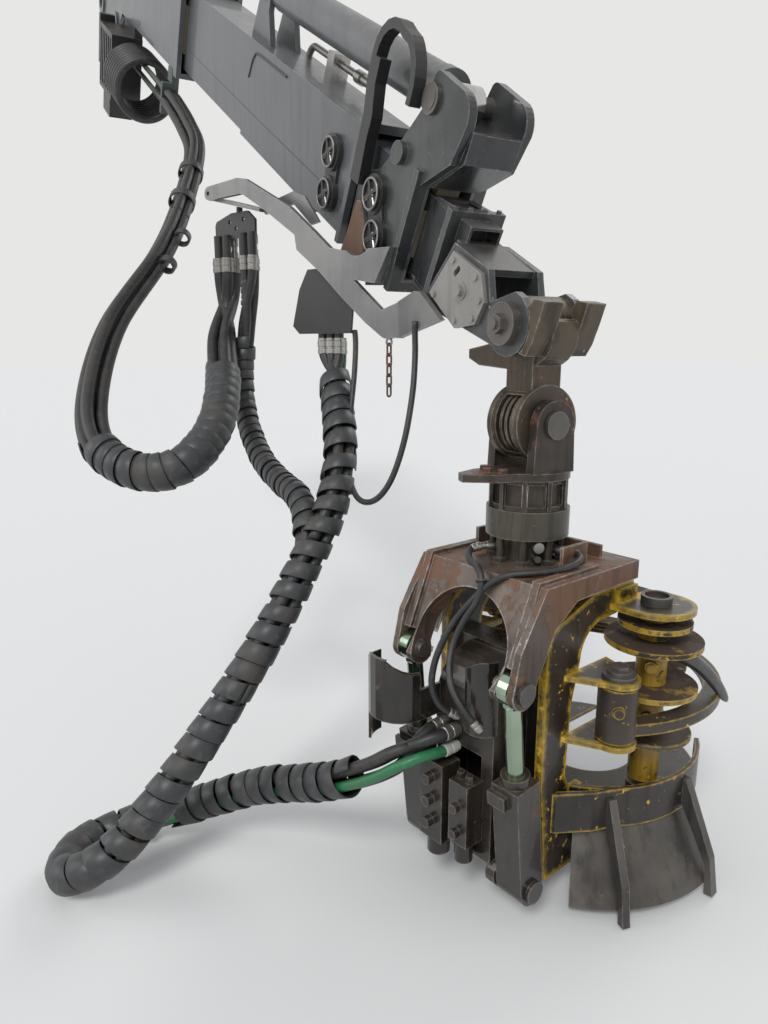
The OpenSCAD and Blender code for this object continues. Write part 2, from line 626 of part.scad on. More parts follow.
module turn_ring() color(rust) at_foot() {
    translate([0, 0, ring_low]) cylinder(r = rotator_r, h = turn_ring_h);
    translate([0, 0, ring_top]) cylinder(r = 50, h = cage_h - 30);
    // foot bolts down to the frame
    for (a = [0:45:315]) rotate([0, 0, head_turn + a + 34.5]) translate([rotator_r - 24, 0, frame_top]) {
        cylinder(r = 20, h = 14, $fn = 6);
        cylinder(r = 11, h = ring_low - frame_top + 1);
    }
    translate([0, 0, frame_top]) cylinder(r = foot_core_r, h = ring_low - frame_top + 1);
}

// Tilt frame: top plate, sloped plate with its round cut-out, cheeks and cylinder forks
eye_x = frame_half - 41;
eye_half = 16;
tilt_pin_r = 22;
fork_r = 46;
cut_r = 165;
front_y = -190;
slope_low = [-262, 792];
module frame_side() polygon(concat(
    [[front_y, frame_top], [226, frame_top], [226, 946], [-60, 940], [-150, 880]],
    arc([-eye_y, eye_z], fork_r, 10, -175, 10),
    [[-eye_y - 20, eye_z + 110]]));
module tilt_frame() color("#6b5a50") at_head() difference() {
    union() {
        translate([-frame_half, front_y, frame_top - frame_t]) cube([2 * frame_half, 226 - front_y, frame_t]);
        plate_yz(-frame_half, 2 * frame_half) polygon([[front_y, frame_top], slope_low + [-10, 4],
            slope_low + [12, -4], [front_y + 24, frame_top - frame_t]]);
        both_sides() plate_yz(frame_half - 22, 22) frame_side();
        // thick beam along each edge, down to the fork
        both_sides() plate_yz(frame_half - 46, 25) polygon([[60, frame_top + 12], [front_y - 6,
            frame_top + 12],
            [slope_low[0] - 22, slope_low[1] + 8], [slope_low[0] + 14, slope_low[1] - 6],
                [front_y + 16, frame_top - 10],
            [60, frame_top - 10]]);
        // inner fork cheeks
        both_sides() plate_yz(eye_x - 39, 20) polygon(concat(
            [[-190, 970], [-110, 984], [-152, 870]], arc([-eye_y, eye_z], fork_r, 10, -175, 10),
            [[slope_low[0], slope_low[1] + 20]]));
        // lugs that carry the tilt hinge, inside the side plates
        both_sides() plate_yz(146, 22) polygon(concat([[110, frame_top - frame_t]],
            arc([hinge_y, hinge_z], 46, 200, 360), [[226 + 28, frame_top - frame_t]]));
        // upright rim behind the rotator's foot
        both_sides() translate([150, -40, frame_top]) cube([10, 110, 66]);
        translate([-150, 150, frame_top]) cube([300, 10, 40]);
    }
    plate_cut();
    both_sides() translate([0, -eye_y, eye_z]) bar_x(tilt_pin_r + pin_fit, 100, 300);
    both_sides() translate([0, hinge_y, hinge_z]) bar_x(tilt_pin_r + pin_fit, 100, 300);
}
// Round cut-out at the low edge of the sloped plate
module plate_cut() translate([0, slope_low[0], slope_low[1]])
    rotate([atan2(frame_top - slope_low[1], front_y - slope_low[0]) - 90, 0, 0])
        rotate([90, 0, 0]) translate([0, 0, -60]) cylinder(r = cut_r, h = 120);
module tilt_pins() color(chrome) at_head() both_sides() {
    translate([0, -eye_y, eye_z]) {
        bar_x(tilt_pin_r, eye_x - 49, frame_half + 12);
        bar_x(30, frame_half + seat, frame_half + 12);
    }
    translate([0, hinge_y, hinge_z]) bar_x(tilt_pin_r, 140, side_half - 3);
}
// Hydraulic couplings round the rotator's foot, between its bolts
foot_core_r = 70;
module frame_fittings() color(chrome) at_head() {
    for (a = [-123, 12]) rotate([0, 0, a]) translate([foot_core_r + seat, 0, frame_top + 38]) {
        bar_x(13, 0, 46);
        bar_x(10, 45, 60);
    }
    rotate([0, 0, -33]) translate([foot_core_r + seat, 0, frame_top]) {
        translate([0, 0, 56]) bar_x(15, 0, 44);
        translate([0, 0, 22]) bar_x(9, 0, 40);
    }
}

// Head: spine with its domed top, back wall and deck between the side plates
spine_half = 112;
spine_y = [-240, -102];
side_in = side_half - side_t;
module head_frame() color(dark) at_head() {
    wall_y = spine_y[1];
    difference() {
        union() {
            plate_yz(-spine_half, 2 * spine_half) polygon(concat(
                [[wall_y + 10, 110], [wall_y + 10, 736]], arc([wall_y, 598], 138, 90, 180, 8),
                [[spine_y[0], 160], [spine_y[0] + 34, 110]]));
            translate([-side_in, wall_y, 90]) cube([2 * side_in, 20, 660]);
            translate([-side_in, wall_y + 10, 722]) cube([2 * side_in, 100, 20]);
            translate([-side_in, wall_y + 10, 100]) cube([2 * side_in, 70, 20]);
            // beds for the tilt cylinders' lower pins
            both_sides() plate_yz(spine_half - 12, 32) polygon(concat(
                [[-140, 96], [-118, 210]], arc([-foot_y, foot_z], 44, 80, 280, 8)));
        }
        translate([-spine_half + 14, spine_y[0] + 14, 180]) cube([2 * spine_half - 28, 108, 380]);
        translate([-70, spine_y[0] - 2, 200]) cube([140, 40, 280]);
    }
    // stub pins that the tilt cylinders' feet turn on
    both_sides() translate([0, -foot_y, foot_z]) {
        bar_x(tilt_pin_r, spine_half, eye_x + 58);
        bar_x(tilt_pin_r + 10, eye_x + 46, eye_x + 58);
        bar_x(tilt_pin_r + 10, spine_half + 10, eye_x - 46);
    }
}
// C-shaped side plates with the brackets for the arms' pins
module side_outline() difference() {
    polygon(concat([[-100, 90], [-138, 400], [-138, 800]], arc([-60, 800], 78, 180, 110),
        [[60, 924], [150, 926], [256, 926]], [[256, 852]], [[160, 842]], arc([110, 740], 100, 100, 180),
        [[-20, 620], [-30, 400], [0, 340], [60, 340], [60, 90]]));
    translate([hinge_y, hinge_z]) circle(r = tilt_pin_r + pin_fit);
}
lug_top = 862;
low_pin = [300, 50];
high_pin = [280, 250];
bracket_z = [516, 700];
bracket_t = 16;
module bracket(p, r) difference() {
    linear_extrude(bracket_t) intersection() {
        union() {
            translate(p) circle(r = r);
            polygon([[side_half - 2, p[1] - 110], [p[0], p[1] - r], [p[0] + r * 0.7, p[1] - r * 0.7],
                 [p[0], p[1] + r], [side_half - 2, p[1] + 90]]);
        }
        translate([side_half - 2, -one_h]) square([2 * one_h, 4 * one_h]);
    }
    translate([p[0], p[1], -1]) cylinder(r = arm_pin_r + pin_fit, h = bracket_t + 2);
}
module side_plates() color(yellow) at_head() both_sides() {
    plate_yz(side_in, side_t) side_outline();
    for (z = bracket_z) translate([0, 0, z]) bracket(low_pin, 58);
    translate([0, 0, lug_top]) bracket(high_pin, 110);
    translate([side_half, high_pin[1] - 90, lug_top + bracket_t]) cube([14, 96, 40]);
}
// Bent hoods beside the hose entry: plan centre, radius, foot and top, the angles of the bend
hood_t = 8;
module hood(c, r, low, high, a0, a1) translate([0, 0, low]) linear_extrude(high - low) polygon(concat(
    arc(c, r, a0, a1, 10), arc(c, r - hood_t, a1, a0, 10)));
module hose_hoods() color(dark) at_head() {
    face = spine_y[0] - seat;
    // left hood in front of the far tilt cylinder, its outer wing hanging lower
    difference() {
        union() {
            hood([-eye_x, face - 78], 92, 548, 738, 180, 360);
            hood([-eye_x, face - 78], 92, 452, 600, 180, 228);
            translate([-eye_x + 92 - hood_t, face - 80, 548]) cube([hood_t, 80, 96]);
        }
        translate([-eye_x - 110, face - 180, 700]) rotate([0, -24, 0]) translate([-100, 0,
            0]) cube([180, 200, 90]);
        translate([-eye_x + 30, face - 180, 732]) rotate([0, 34, 0]) cube([160, 200, 90]);
    }
    // right hood rises through the frame's cut-out
    difference() {
        hood([78, face - 8], 52, 572, 788, 180, 360);
        translate([20, face - 80, 740]) rotate([0, -30, 0]) translate([-60, 0, 0]) cube([180, 100, 90]);
    }
    translate([26, face - 9, 572]) cube([hood_t, 9, 20]);
}
module valve_block() color(dark) at_head() {
    translate([-98, spine_y[0] - 76, 190]) cube([90, 70, 250]);
    translate([10, spine_y[0] - 66, 220]) cube([70, 60, 190]);
    translate([-98, spine_y[0] - 6, 220]) cube([178, 6, 190]);
    for (z = [250, 320, 390]) translate([-53, spine_y[0] - 100, z]) bar_y(16, 0, 24);
    for (z = [260, 340]) translate([45, spine_y[0] - 88, z]) bar_y(14, 0, 22);
    for (z = [236, 290, 344, 398]) translate([-53, spine_y[0] - 41, z]) bar_x(13, -68, 0);
    for (x = [28, 60]) translate([x, spine_y[0] - 36, 409]) cylinder(r = 12, h = 22, $fn = 6);
    translate([44, spine_y[0] - 36, 160]) cylinder(r = 27, h = 61);
    translate([-53, spine_y[0] - 40, 140]) cylinder(r = 34, h = 51);
}

// Round saw pan with its rim, open at the front for the stem
rim_x = 326;
rim_y = -sqrt(pan_r * pan_r - rim_x * rim_x);
// the straight rim wall's outward direction and its distance from the pan's centre
wall_turn = atan2(rim_y + 305, rim_x - 275) - 90;
wall_out = 272 * cos(wall_turn) - 302 * sin(wall_turn);
mouth_half = 150;
module saw_pan() color(dark) at_head() translate([0, stem_y, 0]) difference() {
    union() {
        translate([0, 0, pan_z]) cylinder(r = pan_r, h = 12, $fn = 96);
        translate([0, 0, pan_z + 12]) difference() {
            cylinder(r = pan_r, h = rim_h, $fn = 96);
            translate([0, 0, -1]) cylinder(r = pan_r - 14, h = rim_h + 2, $fn = 96);
            translate([-2 * pan_r, 0, -1]) rotate([0, 0, 0]) cube([4 * pan_r, 2 * pan_r, rim_h + 2]);
        }
        translate([0, 0, pan_z + 12]) both_sides() rotate_extrude(angle = 35, $fn = 96)
            translate([pan_r - 14, 0]) square([14, rim_h]);
        // floor and rim run on from the round pan to the side plates
        both_sides() translate([0, 0, pan_z]) linear_extrude(12)
            polygon([[side_in, -386], [side_half + 6, -386], [266, -296], [rim_x - 6, rim_y + 5],
                [side_in, rim_y + 5]]);
        both_sides() translate([0, 0, pan_z]) linear_extrude(rim_h + 12)
            polygon([[side_half - 2, -396], [side_half + 10, -390], [272, -302], [rim_x - 3, rim_y + 3],
                [rim_x - 8, rim_y + 6], [262, -290], [side_half - 2, -374]]);
        // bearings for the upper arms' pins
        both_sides() translate([high_pin[0], high_pin[1] - stem_y, pan_z + 12]) cylinder(r = 46, h = 60);
    }
    translate([-mouth_half, 60, pan_z - 1]) cube([2 * mouth_half, pan_r, rim_h + 20]);
    translate([0, 60, pan_z - 1]) cylinder(r = mouth_half, h = rim_h + 20);
    // seat round the side plates and back wall
    both_sides() translate([side_in - seat, -stem_y - 180, pan_z - 1]) cube([side_t + 2 * seat,
        240 + seat, rim_h + 20]);
    translate([-side_in - 1, -stem_y - 180, pan_z - 1]) cube([2 * side_in + 2, 101 + seat, rim_h + 20]);
    both_sides() translate([high_pin[0], high_pin[1] - stem_y,
        pan_z + 30]) cylinder(r = arm_pin_r + pin_fit, h = 60);
}
// Skid sheets under the pan and the bent guard bars that run down to the ground
module saw_skids() color(steel) at_head() translate([0, stem_y, 0]) both_sides() {
    rotate([0, 0, -55]) rotate_extrude(angle = 62, $fn = 96)
        polygon([[pan_r - 30, pan_z], [pan_r - 12, pan_z], [470, 34], [462, 26]]);
    for (bar = [[wall_turn, 24, wall_out - pan_r, -100.7], [2, 30, 0, 0]])
        rotate([0, 0, bar[0]]) translate([bar[2], bar[3], 0]) plate_xz(-bar[1] / 2, bar[1]) polygon(
        [[pan_r, pan_z + 96], [pan_r + 10, pan_z + 96], [pan_r + 26, pan_z + 60], [482, 120], [500, 4],
            [474, 0],
         [466, 96], [pan_r + 4, pan_z + 12], [pan_r, pan_z + 12]]);
}
module arm_pins() color(rust) at_head() both_sides() {
    translate([low_pin[0], low_pin[1], bracket_z[0] - 10]) {
        cylinder(r = arm_pin_r, h = bracket_z[1] - bracket_z[0] + bracket_t + 34);
        translate([0, 0, bracket_z[1] - bracket_z[0] + bracket_t + 10 + seat]) cylinder(r = 46, h = 12);
        translate([0, 0, bracket_z[1] - bracket_z[0] + bracket_t + 22 + seat]) cylinder(r = 34, h = 10);
        translate([0, 0, bracket_z[1] - bracket_z[0] + bracket_t + 32 + seat]) cylinder(r = 26, h = 12,
            $fn = 6);
    }
    translate([high_pin[0], high_pin[1], pan_z + 31]) {
        cylinder(r = arm_pin_r, h = lug_top + bracket_t - pan_z - 21);
        translate([0, 0, lug_top + bracket_t - pan_z - 31 + seat]) difference() {
            cylinder(r = 44, h = 24);
            translate([0, 0, 10]) cylinder(r = 34, h = 15);
        }
    }
}

// Tilt cylinders, one on each side of the spine
foot_y = 200;
foot_z = 130;
tilt_len = norm([eye_z - foot_z, eye_y - foot_y]);
tilt_lean = atan2(eye_y - foot_y, eye_z - foot_z);
tilt_rod_r = 24;
tilt_bore_r = 32;
barrel_top = 330;
rod_in = 112;
module on_tilt(side) at_head() translate([side * eye_x, -foot_y, foot_z]) rotate([tilt_lean, 0,
    0]) children();
module tilt_barrel(side) color(steel) on_tilt(side) difference() {
    union() {
        translate([-45, -45, 10]) cube([90, 90, barrel_top - 10]);
        translate([0, 0, barrel_top]) cylinder(r = 40, h = 26);
        bar_x(44, -45, 45);
        translate([-20 - 30, -60, barrel_top - 60]) cube([60, 15, 40]);
    }
    translate([0, 0, 60]) cylinder(r = tilt_bore_r, h = barrel_top - 60);
    translate([0, 0, 60]) cylinder(r = tilt_rod_r + pin_fit, h = barrel_top);
    bar_x(tilt_pin_r + pin_fit, -60, 60);
}
module tilt_rod(side) color(chrome) on_tilt(side) difference() {
    union() {
        translate([0, 0, barrel_top - rod_in]) cylinder(r = tilt_rod_r,
            h = tilt_len - barrel_top + rod_in - fork_r - 5);
        translate([-eye_half, -20, tilt_len - fork_r - 6]) cube([2 * eye_half, 40, 30]);
        translate([0, 0, barrel_top - rod_in]) cylinder(r = tilt_bore_r - pin_fit, h = 30);
        translate([0, 0, tilt_len]) bar_x(44, -eye_half, eye_half);
    }
    // the eye is the open pivot of the tilt linkage and drifts round its pin
    translate([0, 0, tilt_len]) bar_x(tilt_pin_r + 9, -60, 60);
}
module tilt_barrel_near() tilt_barrel(1);
module tilt_barrel_far() tilt_barrel(-1);
module tilt_rod_near() tilt_rod(1);
module tilt_rod_far() tilt_rod(-1);

// Gathering arms: crescent plates round the stem, on tubes that turn on the pins
stem_ring_r = norm([high_pin[0], high_pin[1] - stem_y]);
low_ring_r = norm([low_pin[0], low_pin[1] - stem_y]);
module crescent(r0, r1, a0, a1) translate([0, stem_y]) intersection() {
    difference() {
        circle(r = r1, $fn = 96);
        circle(r = r0, $fn = 96);
    }
    polygon(concat([[0, 0]], arc([0, 0], 700, a0, a1, 12)));
}
upper_plates = [816, 760, 622];
module upper_arm(drop) color(yellow) difference() {
    union() {
        translate([high_pin[0], high_pin[1], 330]) cylinder(r = 44, h = lug_top - 6 - 330);
        for (i = [0:2]) translate([0, 0, upper_plates[i] - drop]) linear_extrude(16) union() {
            translate(high_pin) circle(r = i == 0 ? 104 : 144 - 6 * i);
            if (i == 1 || i == 2) crescent(stem_ring_r - 34, stem_ring_r + 34, -14, 180 - 30 * i);
        }
        for (z = [540, 700]) translate([high_pin[0], high_pin[1], z]) rotate([0, 0, -60]) {
            bar_x(18, 0, 56);
            bar_x(11, 55, 62);
        }
    }
    translate([high_pin[0], high_pin[1], 0]) cylinder(r = arm_pin_r + pin_fit, h = 1000);
}
module upper_arm_near() at_head() upper_arm(0);
module upper_arm_far() mirror_far() upper_arm(far_drop);
module mirror_far() at_head() mirror([1, 0, 0]) children();
far_drop = 28;
lower_plate = 550;
module lower_arm() color(steel) difference() {
    union() {
        translate([low_pin[0], low_pin[1], bracket_z[0] + bracket_t + 5])
            cylinder(r = 54, h = bracket_z[1] - bracket_z[0] - bracket_t - 10);
        translate([low_pin[0], low_pin[1], 636]) rotate([0, 0, -52]) bar_x(15, 0, 66);
        translate([0, 0, lower_plate]) linear_extrude(34)
            crescent(low_ring_r - 26, low_ring_r + 26, -44, 62);
    }
    translate([low_pin[0], low_pin[1], 0]) cylinder(r = arm_pin_r + pin_fit, h = 1000);
}
module lower_arm_near() at_head() lower_arm();
module lower_arm_far() mirror_far() lower_arm();

// Hoses, each bundle a tube swept along hand-chosen points measured from the foot
feed_route = [[-2971.6, -155, 2949.3], [-2890, -155, 2902], [-2680, -150, 2740],
              [-2436, -188, 2560], [-2048, -374, 2250], [-1686, -580, 1975], [-1435, -838, 1680],
              [-1206, -969, 1420], [-1047, -980, 1262], [-895, -886, 1194], [-842, -755, 1216],
              [-930, -620, 1318], [-1090, -530, 1450], [-1300, -460, 1600], [-1428, -400, 1760],
              [-1428.3, -395.3, 1860], [-1428.3, -395.3, 1939.7]];
hanger_route = [[-1280.9, -344.5, 1939.7], [-1280.9, -344.5, 1860], [-1290, -345, 1770],
                [-1320, -350, 1640], [-1310, -375, 1480], [-1210, -400, 1320], [-1010, -420, 1190],
                    [-800, -430, 1135], [-640, -440, 1125]];
head_route = [[-844, -206.5, 1624.7], [-844, -206.5, 1580], [-800, -218, 1500], [-700, -255, 1390],
              [-585, -305, 1250], [-500, -380, 1100], [-462, -490, 940], [-440, -640, 720], [-430,
                  -860, 440], [-430, -1060, 220], [-455, -1190, 120],
              [-540, -1260, 68], [-650, -1210, 62], [-685, -1090, 66], [-640, -940, 95], [-540, -790, 165],
              [-420, -680, 240], [-300, -600, 290], [-190, -540, 340], [-80, -465, 410], [-10.2, -402.9, 478],
              [4.8, -349.5, 500], [2.9, -304.1, 503], [-7.5, -245.4, 503]];
motor_route = [[-71.2, -109.6, 1038], [-81.7, -125.8, 1038], [-78, -156, 1026], [-40, -190, 1016],
               [10, -212, 1011], [38, -228, 980], [36, -240, 930], [10, -258, 875], [-4, -282, 815],
                   [6, -310, 760], [36, -330, 705], [84, -326, 650],
               [118, -300, 600]];
function ring_at_point(p, dir, r, n) = let (
    d = dir / norm(dir),
    side = abs(d[2]) > 0.95 ? [1, 0, 0] : [0, 0, 1],
    u = cross(d, side) / norm(cross(d, side)),
    v = cross(u, d)) [for (k = [0:n - 1]) p + r * (cos(360 * k / n) * u + sin(360 * k / n) * v)];
// Catmull-Rom point between route points i and i + 1
function at(p, i) = p[min(max(i, 0), len(p) - 1)];
function blend(p, i, t) = 0.5 * ((2 * at(p, i)) + (at(p, i + 1) - at(p, i - 1)) * t
    + (2 * at(p, i - 1) - 5 * at(p, i) + 4 * at(p, i + 1) - at(p, i + 2)) * t * t
    + (3 * at(p, i) - at(p, i - 1) - 3 * at(p, i + 1) + at(p, i + 2)) * t * t * t);
function smooth(p, m) = concat([for (i = [0:len(p) - 2]) for (j = [0:m - 1]) blend(p, i, j / m)],
    [p[len(p) - 1]]);
module hose(route, r, n = 8, m = 1) {
    pts = smooth(route, m);
    last = len(pts) - 1;
    rings = [for (i = [0:last]) ring_at_point(pts[i], pts[min(i + 1, last)] - pts[max(i - 1, 0)], r, n)];
    polyhedron(points = [for (ring = rings) for (q = ring) q],
        faces = concat([[for (k = [0:n - 1]) k]],
            [for (i = [0:last - 1]) for (k = [0:n - 1])
                [i * n + k, (i + 1) * n + k, (i + 1) * n + (k + 1) % n, i * n + (k + 1) % n]],
            [[for (k = [n - 1:-1:0]) last * n + k]]));
}
module feed_hoses() color(rubber) at_link() hose(feed_route, 50);
module hanger_hoses() color(rubber) at_link() hose(hanger_route, 40);
module head_hoses() color(rubber) at_link() hose(head_route, 60);
module motor_hoses() color(rubber) at_head() hose(motor_route, 10);

jib_sleeve();
root_lugs();
sleeve_pads();
hose_box();
feed_pipes();
hose_coil();
stage_one();
stage_one_pads();
stage_one_adjusters();
cylinder_barrel();
barrel_pin();
steel_pipe();
stage_two();
stage_two_pads();
tip_bracket();
tip_adjusters();
cylinder_rod();
rod_pin();
hose_arch();
guide_arm();
rear_hanger();
front_hanger();
lifting_chain();
stage_three();
brake_covers();
link_pin();
swing_link();
brake_discs();
cross_pin();
rotator_body();
turn_ring();
tilt_frame();
tilt_pins();
frame_fittings();
head_frame();
side_plates();
hose_hoods();
valve_block();
saw_pan();
saw_skids();
arm_pins();
tilt_barrel_near();
tilt_barrel_far();
tilt_rod_near();
tilt_rod_far();
upper_arm_near();
upper_arm_far();
lower_arm_near();
lower_arm_far();
feed_hoses();
hanger_hoses();
head_hoses();
motor_hoses();
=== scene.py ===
"""Finish, hoses and small fittings of a telescopic jib end with its felling head.

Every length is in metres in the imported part's frame: +X runs level from the jib's root pin
towards its tip, +Z is up, and the origin is the middle of the root pin bore.
"""

import logging
import math
from collections.abc import Callable
from dataclasses import dataclass, field
from enum import Enum

import bpy
import numpy as np
from mathutils import Matrix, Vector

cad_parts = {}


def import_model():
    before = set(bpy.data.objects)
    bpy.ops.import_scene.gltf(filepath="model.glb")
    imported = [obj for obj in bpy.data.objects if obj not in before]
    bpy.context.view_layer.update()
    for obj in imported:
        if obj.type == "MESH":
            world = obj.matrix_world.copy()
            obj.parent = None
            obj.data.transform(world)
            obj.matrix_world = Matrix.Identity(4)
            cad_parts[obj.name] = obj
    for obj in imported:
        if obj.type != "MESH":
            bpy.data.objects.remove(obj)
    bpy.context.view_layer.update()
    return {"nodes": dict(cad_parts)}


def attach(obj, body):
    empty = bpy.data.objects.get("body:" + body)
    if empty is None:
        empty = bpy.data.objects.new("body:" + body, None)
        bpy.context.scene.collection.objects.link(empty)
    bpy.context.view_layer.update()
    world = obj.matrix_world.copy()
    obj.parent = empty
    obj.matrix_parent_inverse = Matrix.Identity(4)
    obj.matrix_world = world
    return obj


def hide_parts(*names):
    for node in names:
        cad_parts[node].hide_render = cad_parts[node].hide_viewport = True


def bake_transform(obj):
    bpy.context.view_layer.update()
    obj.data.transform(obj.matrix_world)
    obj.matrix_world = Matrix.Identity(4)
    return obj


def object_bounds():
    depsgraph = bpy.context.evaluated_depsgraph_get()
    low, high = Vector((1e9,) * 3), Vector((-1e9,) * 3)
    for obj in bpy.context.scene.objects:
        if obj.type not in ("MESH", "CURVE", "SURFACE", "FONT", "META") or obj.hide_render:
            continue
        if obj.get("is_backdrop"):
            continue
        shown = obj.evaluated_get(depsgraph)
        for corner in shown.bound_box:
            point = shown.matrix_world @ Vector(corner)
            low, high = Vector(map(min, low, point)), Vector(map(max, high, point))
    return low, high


log = logging.getLogger("felling_head")

# Places that part.scad works out, in metres
JIB_SLOPE = math.radians(30.0)
JIB_RISE = 0.270
STAGE_ONE_END = 4.250
LINK_U = STAGE_ONE_END + 0.961
LINK_HEIGHT = 1.655
HEAD_TURN = math.radians(10.0)
FOOT = np.array([
    LINK_U * math.cos(JIB_SLOPE) + JIB_RISE * math.sin(JIB_SLOPE),
    0.0,
    JIB_RISE * math.cos(JIB_SLOPE) - LINK_U * math.sin(JIB_SLOPE) - LINK_HEIGHT,
])
ARM_DIR = (math.cos(math.radians(19.0)), math.sin(math.radians(19.0)))
MM = 0.001
UPWARDS = np.array([0.0, 0.0, 1.0])
Point = tuple[float, float, float]


def on_foot(points: np.ndarray) -> np.ndarray:
    """Points measured from the ground under the link pin, moved into the part's frame."""
    return np.asarray(points, float) + FOOT


def on_jib(points: np.ndarray) -> np.ndarray:
    """Points measured along the jib, turned down by its slope into the part's frame.

    Args:
        points: Rows of u along the jib, y across it and w up from its middle.

    Returns:
        Rows of x, y and z.
    """
    p = np.asarray(points, float)
    c, s = math.cos(JIB_SLOPE), math.sin(JIB_SLOPE)
    w = p[..., 2] + JIB_RISE
    return np.stack([p[..., 0] * c + w * s, p[..., 1], -p[..., 0] * s + w * c], axis=-1)


def on_head(points: np.ndarray) -> np.ndarray:
    """Points measured in the head's own axes, turned about the rotator's axis.

    Args:
        points: Rows of x, y and z, from the ground under the link pin.

    Returns:
        The same rows in the part's frame.
    """
    p = np.asarray(points, float)
    c, s = math.cos(HEAD_TURN), math.sin(HEAD_TURN)
    x, y = p[..., 0] * c - p[..., 1] * s, p[..., 0] * s + p[..., 1] * c
    return np.stack([x, y, p[..., 2]], axis=-1) + FOOT


# ---------------------------------------------------------------- surfaces


def smooth_route(points: np.ndarray, per_span: int) -> np.ndarray:
    """Catmull-Rom curve through the points.

    Between points b and c, with neighbours a and d, the curve is
    (2b + (c - a)t + (2a - 5b + 4c - d)t^2 + (3b - a - 3c + d)t^3) / 2.

    Args:
        points: Route points, one row each.
        per_span: Samples between two neighbouring points.

    Returns:
        The sampled curve, one row a point.
    """
    p = np.asarray(points, float)
    a, b = np.vstack([p[:1], p[:-2]]), p[:-1]
    c, d = p[1:], np.vstack([p[2:], p[-1:]])
    t = (np.arange(per_span) / per_span)[None, :, None]
    a, b, c, d = (q[:, None, :] for q in (a, b, c, d))
    squares, cubes = (2 * a - 5 * b + 4 * c - d) * t**2, (3 * b - a - 3 * c + d) * t**3
    spans = 0.5 * (2 * b + (c - a) * t + squares + cubes)
    return np.vstack([spans.reshape(-1, 3), p[-1:]])


def arc_length(points: np.ndarray) -> np.ndarray:
    """Length along a curve from its start to each of its points."""
    steps = np.linalg.norm(np.diff(points, axis=0), axis=1)
    return np.concatenate([[0.0], np.cumsum(steps)])


def arc_share(points: np.ndarray) -> np.ndarray:
    """Share of a curve's length, from 0 to 1, at each of its points."""
    run = arc_length(points)
    return run / run[-1]


def resample(points: np.ndarray, step: float) -> np.ndarray:
    """The same curve with its points an even step apart, straight between the given ones.

    Args:
        points: The curve, one row a point.
        step: About how far apart the new points are to be.

    Returns:
        The new points, the two ends among them.
    """
    run = arc_length(points)
    count = max(4, int(round(run[-1] / step)) + 1)
    at = np.linspace(0.0, run[-1], count)
    return np.stack([np.interp(at, run, points[:, k]) for k in range(3)], axis=1)


def even_route(points: tuple, place: Callable[[np.ndarray], np.ndarray],
               step: float = 0.02) -> np.ndarray:
    """A smooth curve through points in millimetres, an even step apart.

    Args:
        points: Rows of x, y and z.
        place: Moves points into the part's frame: on_foot or on_head.
        step: How far apart the curve's points are to be, in metres.

    Returns:
        The curve in the part's frame.
    """
    return resample(smooth_route(place(MM * np.array(points, float)), 10), step)


def frames_along(path: np.ndarray) -> tuple[np.ndarray, np.ndarray]:
    """Two unit vectors across a path at each point, carried along it with little twist.

    Each frame is the last one with its part along the new tangent taken away, so it turns only
    as much as the path does.

    Args:
        path: Points along the path.

    Returns:
        The vectors to the side and upwards, one row a point.
    """
    tangent = np.gradient(path, axis=0)
    tangent /= np.linalg.norm(tangent, axis=1, keepdims=True)
    first = np.cross(tangent[0], UPWARDS)
    if np.linalg.norm(first) < 0.1:
        first = np.cross(tangent[0], [0.0, 1.0, 0.0])
    side = np.zeros_like(path)
    side[0] = first / np.linalg.norm(first)
    for i in range(1, len(path)):
        v = side[i - 1] - tangent[i] * side[i - 1].dot(tangent[i])
        side[i] = v / np.linalg.norm(v)
    return side, np.cross(tangent, side)


def grid_faces(rows: int, columns: int) -> np.ndarray:
    """Faces of a grid whose columns close round.

    Args:
        rows: Points along the grid.
        columns: Points round it.

    Returns:
        Four corner indices a face.
    """
    i, j = np.arange(rows - 1)[:, None] * columns, np.arange(columns)[None, :]
    k = (j + 1) % columns
    quads = np.stack([i + j, i + k, i + columns + k, i + columns + j], axis=-1)
    return quads.reshape(-1, 4)


def capped_faces(rows: int, columns: int) -> list[list[int]]:
    """The faces of such a grid with a flat cap on its first row and one on its last.

    Args:
        rows: Points along the grid.
        columns: Points round it.

    Returns:
        The corner indices of each face.
    """
    last = (rows - 1) * columns
    caps = [list(range(columns))[::-1], list(range(last, last + columns))]
    return grid_faces(rows, columns).tolist() + caps


def mesh_piece(name: str, points: np.ndarray, faces: list, smooth: bool = True) -> bpy.types.Object:
    """A new mesh object at the origin, with its place in its points.

    Args:
        name: The piece's name.
        points: All corners, one row each.
        faces: Corner indices of each face.
        smooth: Whether its faces shade smoothly.

    Returns:
        The object, linked to the scene.
    """
    data = bpy.data.meshes.new(name)
    data.from_pydata(np.asarray(points).tolist(), [], [list(map(int, f)) for f in faces])
    data.validate()
    if smooth:
        data.polygons.foreach_set("use_smooth", np.ones(len(data.polygons), bool))
    data.update()
    obj = bpy.data.objects.new(name, data)
    bpy.context.scene.collection.objects.link(obj)
    return obj


def add_lengthwise_map(obj: bpy.types.Object, columns: int, along: np.ndarray,
                       girth: float) -> None:
    """Writes a UV map in metres: u runs round the tube and v along it, by each corner's index.

    Args:
        obj: The tube, whose corners go round and then along.
        columns: Corners round it.
        along: Length along it at each row.
        girth: Length round it.
    """
    data = obj.data
    layer = data.uv_layers.new(name="lengthwise")
    corner = np.zeros(len(data.loops), np.int32)
    data.loops.foreach_get("vertex_index", corner)
    row, column = np.minimum(corner // columns, len(along) - 1), corner % columns
    uv = np.stack([column / columns * girth, along[row]], axis=1)
    layer.data.foreach_set("uv", uv.astype(np.float32).ravel())


